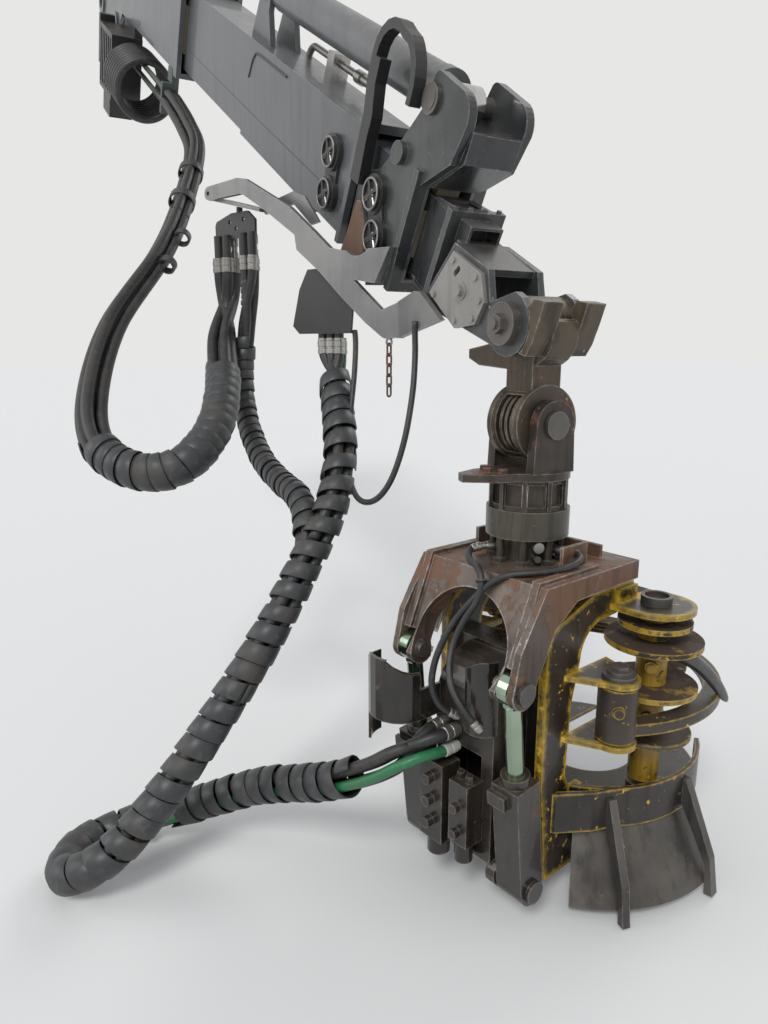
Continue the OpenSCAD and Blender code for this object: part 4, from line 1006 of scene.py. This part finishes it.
@dataclass
class Bundle(Piece):
    """Hoses that run together, cut into chained lengths that each follow one body where both their
    ends lie on it.

    Hose k keeps to its own angle a_k on a circle round the route, and swings over to the place of
    its coupling near an end that has one. Each link of the chain is the share of the route where
    a length ends and the two bodies that it runs between.
    """

    name: str
    route: np.ndarray
    spread: float
    lines: tuple[Line, ...]
    chain: tuple[tuple[float, str, str], ...]
    replaced: str | None
    strips: tuple[Strip, ...] = ()
    gather: float = 0.08
    collar_length: float = 0.055
    twist: float = 0.0
    first_angle: float = 0.4
    straight_share: float = 0.012

    def line_path(self, k: int) -> np.ndarray:
        """Path of one hose: route + m circle + (1 - m) end place, with m rising smoothly.

        Args:
            k: The hose's number.

        Returns:
            Its points, one for each point of the route.
        """
        line = self.lines[k]
        side, up = frames_along(self.route)
        share = arc_share(self.route)
        a = 2 * np.pi * k / len(self.lines) + self.first_angle
        a = (a + self.twist * np.sin(5.0 * share + k))[:, None]
        offset = self.spread * (np.cos(a) * side + np.sin(a) * up)
        for place, far in ((line.from_place, share), (line.to_place, 1.0 - share)):
            if place is not None:
                m = np.clip((far - self.straight_share) / self.gather, 0.0, 1.0)[:, None]
                m = m * m * (3 - 2 * m)
                offset = m * offset + (1 - m) * np.asarray(place)
        return self.route + offset

    def collars(self, k: int, path: np.ndarray) -> list[tuple[int, bpy.types.Object]]:
        """Crimped collars on a hose's coupled ends.

        Args:
            k: The hose's number.
            path: Its path.

        Returns:
            Each collar with the number of the length of hose that it goes with.
        """
        line, made = self.lines[k], []
        r, h = line.radius, self.collar_length
        low, high = r + 0.0018, r + 0.0032
        profile = [(r + 0.0005, 0.0), (high, 0.002), (high, 0.30 * h), (low, 0.34 * h),
                   (low, 0.44 * h), (high, 0.48 * h), (high, 0.80 * h), (r + 0.001, 0.84 * h),
                   (r + 0.001, h), (0.6 * r, h + 0.001)]
        last = len(self.chain) - 1
        ends = (("start", line.from_place, path[0] - path[3], path[0], self.chain[0][1], 0),
                ("end", line.to_place, path[-1] - path[-4], path[-1], self.chain[-1][2], last))
        for word, place, axis, tip, body, number in ends:
            if place is not None:
                axis = axis / np.linalg.norm(axis)
                piece = turned(f"{self.name}_collar_{k + 1}_{word}", profile,
                               tip - axis * (h + 0.001), axis, 20)
                self.wardrobe.fit(piece, line.collar, body)
                made.append((number, piece))
        return made

    def wind(self, n: int, low: float, high: float, keep: np.ndarray) -> list[bpy.types.Object]:
        """The pieces of strip over length n, each placed as that length is.

        Args:
            n: The length's number.
            low: Share of the route where it starts.
            high: Share where it ends.
            keep: The length's own points of the route.

        Returns:
            The pieces.
        """
        made = []
        for number, strip in enumerate(self.strips):
            piece = strip.mesh(f"{self.name}_strip_{number + 1}_{n + 1}", self.route, low, high)
            if piece is not None:
                self.wardrobe.dress(piece, Finish.WRAP)
                follow(piece, *self.chain[n][1:], keep)
                made.append(piece)
        return made

    def build(self, extras: dict[int, list] | None = None) -> None:
        """Builds the hoses, strips and collars, cut into the lengths of the chain.

        Args:
            extras: Further pieces that go with the first hose's length of that number.
        """
        share = arc_share(self.route)
        inner = [int(np.searchsorted(share, end)) for end, _, _ in self.chain[:-1]]
        cuts = [0, *inner, len(share) - 1]
        for k, line in enumerate(self.lines):
            path = self.line_path(k)
            collars = self.collars(k, path)
            for n, (_, first, second) in enumerate(self.chain):
                own = slice(cuts[n], cuts[n + 1] + 1)
                part, keep = path[own], self.route[own]
                hose = tube(f"{self.name}_hose_{k + 1}_{n + 1}", part, line.radius)
                self.wardrobe.dress(hose, line.finish)
                follow(hose, first, second, keep)
                going = [piece for number, piece in collars if number == n]
                if k == 0:
                    going += self.wind(n, share[cuts[n]], share[cuts[n + 1]], keep)
                    going += (extras or {}).get(n, [])
                if k == 0 and n == 0 and self.replaced:
                    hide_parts(self.replaced)
        log.info("%s: %d hoses in %d lengths, %.2f m", self.name, len(self.lines),
                 len(self.chain), arc_length(self.route)[-1])


def across(along: float, out: float) -> Point:
    """An offset in metres along the guide arm and out from it."""
    return (along * ARM_DIR[0] - out * ARM_DIR[1], along * ARM_DIR[1] + out * ARM_DIR[0], 0.0)


def add_coupling(name: str, foot: np.ndarray, radius: float, wardrobe: Wardrobe,
                 height: float = 0.080) -> None:
    """Puts a straight coupling over a hose's end: a turned body, waisted between two collars.

    Args:
        name: The piece's name.
        foot: The middle of its lower end.
        radius: Its radius.
        wardrobe: Gives the materials.
        height: Its height.
    """
    r, h = radius, height
    profile = [(0.6 * r, 0.0), (r, 0.002), (r, 0.28 * h), (0.8 * r, 0.31 * h), (0.8 * r, 0.55 * h),
               (1.05 * r, 0.58 * h), (1.05 * r, h - 0.002), (0.6 * r, h)]
    piece = turned(name, profile, foot, UPWARDS, 18)
    wardrobe.fit(piece, Finish.BRIGHT_STEEL, "stage_two")


@dataclass
class FeedHoses(Piece):
    """The loose loop of supply hoses from the sleeve to the rear hanger."""

    points: tuple = (
        (-2971.6, -155, 2949.3), (-2890, -155, 2902), (-2680, -150, 2740), (-2436, -188, 2560),
        (-2048, -374, 2250), (-1686, -580, 1975), (-1435, -838, 1680), (-1206, -969, 1420),
        (-1047, -980, 1262), (-895, -886, 1194), (-842, -755, 1216), (-930, -620, 1318),
        (-1090, -530, 1450), (-1300, -460, 1600), (-1428, -400, 1760), (-1428.3, -395.3, 1860),
        (-1428.3, -395.3, 1939.7))
    chain: tuple = ((0.33, "sleeve", "stage_one"), (1.0, "stage_one", "stage_two"))
    closed_clamps: tuple[float, ...] = (0.215, 0.285)
    open_clamps: tuple[float, ...] = (0.372, 0.425)
    closed_size: Point = (0.051, 0.0595, 0.026)
    open_size: Point = (0.026, 0.036, 0.018)
    open_offset: Point = (0.030, 0.052, 0.0)
    strip: Strip = Strip(0.0585, 0.047, 0.049, 0.655, 0.865, lean=0.11)

    def clamps(self, route: np.ndarray) -> dict[int, list[bpy.types.Object]]:
        """Two closed clamps round the hoses and two open ones that hang beside them.

        Args:
            route: The loop's middle.

        Returns:
            The clamps that go with each length of the hoses.
        """
        share = arc_share(route)
        half_way = self.chain[0][0]
        extras: dict[int, list[bpy.types.Object]] = {0: [], 1: []}
        for number, at in enumerate(self.closed_clamps + self.open_clamps):
            i = int(np.searchsorted(share, at))
            closed = number < len(self.closed_clamps)
            place = route[i] if closed else route[i] + np.array(self.open_offset)
            ring = clamp_ring(f"feed_clamp_{number + 1}", place, route[i + 1] - route[i - 1],
                              *(self.closed_size if closed else self.open_size))
            self.wardrobe.dress(ring, Finish.WRAP)
            n = 0 if at < half_way else 1
            keep = route[share <= half_way] if n == 0 else route[share >= half_way]
            follow(ring, *self.chain[n][1:], keep)
            extras[n].append(ring)
        return extras

    def build(self) -> None:
        """Lays four hoses in the loop, the two inner ones in couplings."""
        route = even_route(self.points, on_foot)
        extras = self.clamps(route)
        lines = (Line(0.0235, to_place=across(-0.026, 0.0)),
                 Line(0.0235, to_place=across(0.026, 0.0)),
                 Line(0.0215, to_place=across(-0.022, 0.040)),
                 Line(0.0215, to_place=across(0.024, 0.040)))
        for number, line in enumerate(lines[2:]):
            add_coupling(f"feed_coupling_{number + 1}", route[-1] + np.array(line.to_place),
                         0.015, self.wardrobe)
        Bundle(self.wardrobe, "feed", route, 0.034, lines, self.chain, "feed_hoses", (self.strip,),
               twist=0.35).build(extras)


@dataclass
class HangerHoses(Piece):
    """The bundle that links the rear hanger with the front one, loose at its top, then wrapped."""

    points: tuple = (
        (-1280.9, -344.5, 1939.7), (-1280.9, -344.5, 1860), (-1290, -345, 1770),
        (-1320, -350, 1640), (-1310, -375, 1480), (-1210, -400, 1320), (-1010, -420, 1190),
        (-800, -430, 1135), (-640, -440, 1115), (-550, -450, 1065), (-490, -478, 990),
        (-462, -505, 915))
    strip: Strip = Strip(0.0385, 0.047, 0.049, 0.21, 0.93, lean=0.10)
    fine_strip: Strip = Strip(0.0178, 0.024, 0.019, 0.16, 0.98, 0.003, 0.04)
    fine_share: float = 0.40
    fine_swing: float = 0.25

    def build(self) -> None:
        """Builds the bundle in one length, with a fine strip round one hose at its top."""
        route = even_route(self.points, on_foot)
        places = (across(-0.026, 0.0), across(0.026, 0.0), across(0.0, 0.034))
        lines = tuple(Line(radius, from_place=place)
                      for radius, place in zip((0.0170, 0.0170, 0.0150), places))
        add_coupling("hanger_coupling", route[0] + np.array(places[2]), 0.014, self.wardrobe)
        Bundle(self.wardrobe, "hanger", route, 0.0205, lines, ((1.0, "stage_two", "stage_two"),),
               "hanger_hoses", (self.strip,), gather=0.17).build()
        share = arc_share(route)
        top = share < self.fine_share
        swing = np.clip(1 - share[top] / self.fine_swing, 0, 1)[:, None]
        path = route[top] + np.array(places[0]) * swing
        fine = self.fine_strip.mesh("hanger_fine_strip", path, 0.0, 1.0)
        self.wardrobe.fit(fine, Finish.WRAP, "stage_two")


@dataclass
class HeadHoses(Piece):
    """The spiral wrapped bundle from the front hanger down to the grass and up to the head."""

    points: tuple = (
        (-844, -206.5, 1624.7), (-844, -206.5, 1580), (-800, -218, 1500), (-700, -255, 1390),
        (-585, -305, 1250), (-500, -380, 1100), (-462, -490, 940), (-440, -640, 720),
        (-430, -860, 440), (-430, -1060, 220), (-455, -1190, 120), (-540, -1260, 68),
        (-650, -1210, 62), (-685, -1090, 66), (-640, -940, 95), (-540, -790, 165),
        (-420, -680, 240), (-300, -600, 290), (-190, -540, 340), (-80, -465, 410),
        (-10.2, -402.9, 478), (4.8, -349.5, 500), (2.9, -304.1, 503), (-7.5, -245.4, 503))
    chain: tuple = (
        (0.22, "stage_two", "stage_two"), (0.36, "stage_two", "stage_three"),
        (0.50, "stage_three", "link"), (0.68, "link", "rotator"), (0.84, "rotator", "frame"),
        (1.0, "frame", "head"))
    strips: tuple[Strip, ...] = (
        Strip(0.0505, 0.064, 0.061, 0.045, 0.135, 0.005, 0.09),
        Strip(0.0505, 0.074, 0.050, 0.142, 0.30, 0.005, 0.07),
        Strip(0.0505, 0.066, 0.058, 0.305, 0.70, 0.005, 0.08),
        Strip(0.0505, 0.060, 0.057, 0.705, 0.90, 0.005, 0.09))

    def build(self) -> None:
        """Builds four hoses that leave the couplings in a row, one green, inside the strips."""
        lines = (Line(0.0180, from_place=across(-0.040, 0.0), to_place=(-0.026, 0.0, 0.026)),
                 Line(0.0180, from_place=across(0.0, 0.0), to_place=(0.026, 0.004, 0.026)),
                 Line(0.0180, from_place=across(0.040, 0.0), to_place=(-0.026, 0.0, -0.026)),
                 Line(0.0150, Finish.GREEN_HOSE, across(0.022, 0.034), (0.026, 0.004, -0.026),
                      Finish.WHITE_COLLAR))
        Bundle(self.wardrobe, "head", even_route(self.points, on_foot), 0.029, lines, self.chain,
               "head_hoses", self.strips, gather=0.05).build()


@dataclass
class MotorHoses(Piece):
    """The thin hoses from the rotator's foot over the edge of the tilt frame to the spine."""

    near_points: tuple = (
        (-71.2, -109.6, 1038), (-81.7, -125.8, 1038), (-78, -156, 1026), (-40, -190, 1016),
        (10, -212, 1011), (38, -228, 980), (36, -240, 930), (10, -258, 875), (-4, -282, 815),
        (6, -310, 760), (36, -330, 705), (84, -326, 650), (118, -300, 600))
    far_points: tuple = (
        (127.8, 27.2, 1040), (152, 26, 1040), (181, 8, 1035), (192, -34, 1026), (176, -92, 1017),
        (138, -148, 1012), (98, -188, 1005), (58, -216, 978), (20, -240, 928), (-18, -264, 868),
        (-42, -290, 800), (-50, -314, 735), (-46, -324, 672), (-28, -306, 616), (0, -262, 582))
    radius: float = 0.0095
    tie_place: Point = (0.046, -0.224, 0.985)
    tie_size: Point = (0.0125, 0.016, 0.0035)

    def tie(self, route: np.ndarray) -> bpy.types.Object:
        """The cable tie, round the near hose where the far one crosses it.

        Args:
            route: The near hose's middle.

        Returns:
            The tie.
        """
        crossing = on_head(np.array([self.tie_place]))[0]
        i = int(np.argmin(np.linalg.norm(route - crossing, axis=1)))
        ring = clamp_ring("cable_tie", route[i], route[i + 1] - route[i - 1], *self.tie_size)
        self.wardrobe.fit(ring, Finish.BLACK_PAINT, "frame")
        return ring

    def build(self) -> None:
        """Builds two thin hoses that cross at a cable tie, each running from the frame to the head.
        """
        nowhere = (0.0, 0.0, 0.0)
        lines = (Line(self.radius, from_place=nowhere, to_place=nowhere),)
        for name, points, node in (("motor", self.near_points, "motor_hoses"),
                                   ("return", self.far_points, None)):
            route = even_route(points, on_head, 0.012)
            tied = [self.tie(route)] if node else []
            Bundle(self.wardrobe, name, route, 0.0, lines, ((1.0, "frame", "head"),), node,
                   collar_length=0.032).build({0: tied})


@dataclass
class LooseLoop(Piece):
    """The thin spare hose that hangs in a loop between the front hanger and the guide arm."""

    points: tuple = (
        (-735, -168, 1650), (-722, -172, 1600), (-690, -195, 1500), (-635, -240, 1370),
        (-548, -298, 1225), (-465, -310, 1130), (-385, -295, 1125), (-330, -265, 1190),
        (-315, -225, 1310), (-340, -180, 1450), (-375, -149, 1560), (-389, -141, 1630),
        (-390, -141, 1672))
    radius: float = 0.0095

    def build(self) -> None:
        """Lays the hose in its loop, both ends on pieces of the tip."""
        route = even_route(self.points, on_foot, 0.015)
        loop = tube("loose_loop", route, self.radius, 14)
        self.wardrobe.fit(loop, Finish.HOSE, "stage_two")


# ---------------------------------------------------------------- small fittings


@dataclass
class ArmDiscs(Piece):
    """The black guard discs at the foot of the upper arms' tubes, each with a rubbed rim."""

    pin: tuple[float, float] = (280.0, 250.0)
    levels: tuple[float, float] = (486.0, 458.0)
    size: Point = (0.0445, 0.126, 0.008)

    def build(self) -> None:
        """Builds a disc round each tube and rides it on its arm."""
        for side, level, body in zip((1, -1), self.levels, ("upper_arm_near", "upper_arm_far")):
            place = on_head(MM * np.array([side * self.pin[0], self.pin[1], level]))
            disc = clamp_ring(f"{body}_disc", place, UPWARDS, *self.size)
            self.wardrobe.fit(disc, Finish.ARM_DISC, body)
        log.info("arm discs: 2")


@dataclass
class HeadFittings(Piece):
    """Screw fittings on the near side plate of the head."""

    places: tuple[Point, ...] = ((214.0, 60.0, 150.0), (214.0, 20.0, 110.0))
    profile: tuple[tuple[float, float], ...] = (
        (0.016, -0.001), (0.016, 0.007), (0.010, 0.009), (0.010, 0.022), (0.0075, 0.024),
        (0.0075, 0.036), (0.005, 0.038))

    def build(self) -> None:
        """Builds each fitting as a turned stud with a collar, square to the plate."""
        outwards = on_head(np.array([1.0, 0.0, 0.0])) - FOOT
        for number, place in enumerate(self.places):
            stud = turned(f"plate_stud_{number + 1}", self.profile,
                          on_head(MM * np.array(place)), outwards, 18)
            self.wardrobe.fit(stud, Finish.PIN_STEEL, "head")
        log.info("plate studs: %d", len(self.places))


def merged(name: str, pieces: list[bpy.types.Object]) -> bpy.types.Object:
    """One mesh of several pieces, whose own objects go.

    Args:
        name: The new piece's name.
        pieces: The pieces.

    Returns:
        The new piece.
    """
    points, faces, start = [], [], 0
    for piece in pieces:
        data = piece.data
        co = np.zeros(len(data.vertices) * 3)
        data.vertices.foreach_get("co", co)
        points.append(co.reshape(-1, 3))
        faces += [[start + v for v in face.vertices] for face in data.polygons]
        start += len(data.vertices)
        bpy.data.objects.remove(piece)
        bpy.data.meshes.remove(data)
    return mesh_piece(name, np.vstack(points), faces, smooth=False)


@dataclass
class PadAdjusters(Piece):
    """The bright rings and crosses of the round pad adjusters on both sides of the jib.

    Each place is (u, w) on the jib; the ring stands a little out of the adjuster's face, and the
    two bars of the cross lie turned by 40 degrees in its recess.
    """

    stage_one: tuple = ((4.065, 0.048), (4.090, -0.088))
    tip: tuple = ((4.418, 0.035), (4.485, -0.078))
    fronts: tuple[float, float] = (0.149, 0.144)
    ring: Point = (0.0445, 0.0525, 0.0025)
    ring_sunk: float = 0.001
    cross_sunk: float = 0.0075
    bar_reach: float = 0.046
    bar_radius: float = 0.0045
    turns: tuple[float, float] = (40.0, 130.0)
    hub: tuple[tuple[float, float], ...] = ((0.015, -0.004), (0.015, 0.003), (0.009, 0.005))

    def adjuster(self, u: float, w: float, side: float, front: float) -> list[bpy.types.Object]:
        """One adjuster's ring, cross and hub.

        Args:
            u: Its place along the jib.
            w: Its height on the jib.
            side: Which side it is on, -1 for the near one.
            front: How far its face is from the jib's middle.

        Returns:
            Its pieces.
        """
        out = np.array([0.0, side, 0.0])
        middle = on_jib(np.array([u, side * (front - self.ring_sunk), w]))
        deep = np.array([u, side * (front - self.cross_sunk), w])
        parts = [clamp_ring("ring", middle, out, *self.ring)]
        for turn in self.turns:
            c, s = math.cos(math.radians(turn)), side * math.sin(math.radians(turn))
            reach = np.linspace(-self.bar_reach, self.bar_reach, 5)[:, None]
            bar = on_jib(reach * np.array([[c, 0.0, s]]) + deep)
            parts.append(tube("bar", bar, self.bar_radius, 10))
        return parts + [turned("hub", self.hub, on_jib(deep), out, 20)]

    def build(self) -> None:
        """Builds the rings and crosses of each pair as one mesh a body."""
        for body, places, front in zip(("stage_one", "stage_two"), (self.stage_one, self.tip),
                                       self.fronts):
            parts = []
            for u, w in places:
                for side in (-1.0, 1.0):
                    parts += self.adjuster(u, w, side, front)
            self.wardrobe.fit(merged(f"{body}_adjuster_rings", parts), Finish.BRIGHT_STEEL, body)
        log.info("adjuster rings: 2 meshes")


@dataclass
class JibSeams(Piece):
    """The weld seams along both sides of stage one, and the dark strip near its top edge."""

    half_width: float = 0.115
    seam_radius: float = 0.008
    seam_proud: float = 0.00025
    seam_ripple: float = 0.00004
    seam_step: float = 0.004
    strip_radius: float = 0.0055
    seam: tuple = ((2.16, -0.078), (2.7, -0.080), (3.3, -0.081), (3.9, -0.080), (4.20, -0.079))
    strip: tuple = (
        (3.52, 0.150), (3.36, 0.150), (3.20, 0.150), (3.150, 0.146), (3.120, 0.115), (3.095, 0.040))

    def line(self, places: tuple, y: float, step: float) -> np.ndarray:
        """A line on a plane along the jib."""
        return resample(on_jib(np.array([[u, y, w] for u, w in places])), step)

    def build(self) -> None:
        """Sinks each seam until it clears the slide pads, its radius rippling by sin(s / 4 mm)."""
        level = self.half_width + self.seam_proud - self.seam_radius
        for name, side in (("near", -1.0), ("far", 1.0)):
            path = self.line(self.seam, side * level, self.seam_step)
            ripple = self.seam_ripple * np.sin(arc_length(path) / self.seam_step)
            bead = tube(f"seam_{name}", path, self.seam_radius + ripple, 24)
            self.wardrobe.fit(bead, Finish.BLACK_PAINT, "stage_one")
        strip = tube("edge_strip", self.line(self.strip, -self.half_width, 0.01),
                     self.strip_radius, 10)
        self.wardrobe.fit(strip, Finish.BLACK_PAINT, "stage_one")
        log.info("seams: 2, edge strip: 1")


@dataclass
class KnifeTip(Piece):
    """The smooth grey knife tip that shows behind the near upper arm's disc."""

    points: tuple = (
        (292, 262, 742), (330, 292, 728), (356, 326, 708), (374, 368, 674), (400, 410, 622),
        (418, 452, 560))
    end_radius: float = 0.006
    swell: float = 0.016

    def build(self) -> None:
        """Builds the tip as a tube that tapers: radius = 6 mm + 16 mm sqrt(1 - t^3)."""
        path = even_route(self.points, on_head, 0.012)
        taper = np.sqrt(np.clip(1.0 - arc_share(path)**3, 0.0, 1.0))
        tip = tube("knife_tip", path, self.end_radius + self.swell * taper, 20)
        self.wardrobe.fit(tip, Finish.KNIFE_STEEL, "upper_arm_near")
        log.info("knife tip: 1")


@dataclass
class RustyWedge(Piece):
    """The rusty face of the wedge between the two pairs of adjusters, a thin plate."""

    outline: tuple = (
        (-773, 2076), (-750, 2070), (-725, 1990), (-737, 1872), (-902, 1872), (-906, 1922))
    face: float = -0.1342
    thick: float = 0.003

    def build(self) -> None:
        """Builds the plate from its outline at the back, near the front, and a little in."""
        flat = MM * np.array(self.outline, float)
        middle = flat.mean(axis=0)
        front = self.face - self.thick
        rows = []
        for y, shrink in ((self.face + 0.0005, 1.0), (front + 0.001, 1.0), (front, 0.985)):
            x, z = (middle + (flat - middle) * shrink).T
            rows.append(on_foot(np.stack([x, np.full(len(x), y), z], axis=1)))
        plate = mesh_piece("rusty_wedge", np.vstack(rows), capped_faces(3, len(flat)), smooth=False)
        self.wardrobe.fit(plate, Finish.RUSTY_PLATE, "stage_two")
        log.info("rusty wedge: 1")


# ---------------------------------------------------------------- setting


def placed(name: str, data: object, place: np.ndarray, right: np.ndarray, up: np.ndarray,
           back: np.ndarray) -> bpy.types.Object:
    """A camera or a lamp as a new object.

    Args:
        name: The object's name.
        data: The camera or lamp.
        place: Where it stands, from the ground under the link pin.
        right: Its own x axis.
        up: Its own y axis.
        back: Its own z axis, away from what it looks at.

    Returns:
        The object, linked to the scene.
    """
    matrix = np.eye(4)
    matrix[:3, 0], matrix[:3, 1], matrix[:3, 2] = right, up, back
    matrix[:3, 3] = FOOT + np.array(place)
    obj = bpy.data.objects.new(name, data)
    bpy.context.scene.collection.objects.link(obj)
    obj.matrix_world = Matrix([list(r) for r in matrix])
    return obj


@dataclass
class Studio:
    """Floor, light and the camera that stands where the photographer stood."""

    camera_from_foot: Point = (1.59, -1.39, 1.6)
    heading: tuple[float, float] = (-0.867, 0.499)
    pitch_down: float = math.radians(12.7)
    focal_px: float = 740.0
    frame_px: float = 768.0
    backdrop: Point = (0.80, 0.80, 0.79)
    half_floor: float = 60.0
    floor_drop: float = 0.002
    sky: Point = (0.93, 0.96, 1.0)
    sky_strength: float = 0.55
    suns: tuple[tuple[str, Point, float, float], ...] = (
        ("key", (3.5, -4.0, 5.5), 1.35, 0.30), ("fill", (-2.5, -5.0, 2.4), 0.55, 0.60),
        ("rim", (-1.5, 5.0, 4.0), 0.45, 0.40))

    def camera(self) -> None:
        """Sets the camera at the photograph's place, its axes from its heading and its pitch."""
        data = bpy.data.cameras.new("photo_camera")
        data.sensor_fit, data.sensor_width = "HORIZONTAL", 36.0
        data.lens = self.focal_px / self.frame_px * data.sensor_width
        level = np.array([*self.heading, 0.0]) / np.linalg.norm(self.heading)
        forward = math.cos(self.pitch_down) * level - math.sin(self.pitch_down) * UPWARDS
        right = np.cross(forward, UPWARDS)
        right /= np.linalg.norm(right)
        bpy.context.scene.camera = placed("photo_camera", data, self.camera_from_foot, right,
                                          np.cross(right, forward), -forward)

    def floor(self) -> None:
        """Lays a wide pale floor just under the lowest piece, with a plain matt finish."""
        z, half = min(float(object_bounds()[0][2]), float(FOOT[2])) - self.floor_drop, self.half_floor
        x = float(FOOT[0])
        corners = np.array([[x - half, -half, z], [x + half, -half, z], [x + half, half, z],
                            [x - half, half, z]])
        obj = mesh_piece("floor", corners, [[0, 1, 2, 3]], smooth=False)
        material, w, shader = new_material("floor_pale")
        w.put(shader, "Base Color", rgba(self.backdrop))
        w.put(shader, "Roughness", 0.95)
        w.put(shader, "Specular IOR Level", 0.1)
        obj.data.materials.append(material)
        obj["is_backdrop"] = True

    def world(self) -> None:
        """Makes an even pale sky that camera, mirror and glass rays see in the floor's colour."""
        world = bpy.data.worlds.new("studio")
        world.use_nodes = True
        w = Wiring(world.node_tree)
        light = world.node_tree.nodes["Background"]
        w.put(light, 0, rgba(self.sky))
        w.put(light, 1, self.sky_strength)
        seen = w.filled("ShaderNodeBackground", {0: rgba(self.backdrop), 1: 1.0})
        rays = w.add("ShaderNodeLightPath").outputs
        shown = w.math("ADD", rays["Is Camera Ray"], rays["Is Glossy Ray"], clamp=True)
        shown = w.math("ADD", shown, rays["Is Transmission Ray"], clamp=True)
        ends = {0: shown, 1: light.outputs[0], 2: seen.outputs[0]}
        mixed = w.filled("ShaderNodeMixShader", ends)
        w.join(mixed.outputs[0], world.node_tree.nodes["World Output"].inputs[0])
        bpy.context.scene.world = world

    def lamps(self) -> None:
        """Sets three soft suns: a key past the camera's shoulder, a fill and one behind."""
        for name, toward, strength, spread in self.suns:
            data = bpy.data.lights.new(name, "SUN")
            data.energy, data.angle = strength, spread
            back = np.array(toward) / np.linalg.norm(toward)
            right = np.cross(UPWARDS, back)
            right /= np.linalg.norm(right)
            placed(name, data, toward, right, np.cross(back, right), back)
        bpy.context.scene.view_settings.view_transform = "Standard"


def main() -> None:
    """Builds the scene in order and reports each piece."""
    logging.basicConfig(level=logging.INFO, format="%(name)s: %(message)s")
    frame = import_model()
    studio = Studio()
    studio.camera()
    wardrobe = Wardrobe(Weathering().build())
    wardrobe.dress_nodes(frame["nodes"])
    for kind in (FeedHoses, HangerHoses, HeadHoses, MotorHoses, ArmDiscs, HeadFittings,
                 PadAdjusters, JibSeams, KnifeTip, RustyWedge, LooseLoop):
        kind(wardrobe).build()
    studio.floor()
    studio.world()
    studio.lamps()


if __name__ == "__main__":
    main()
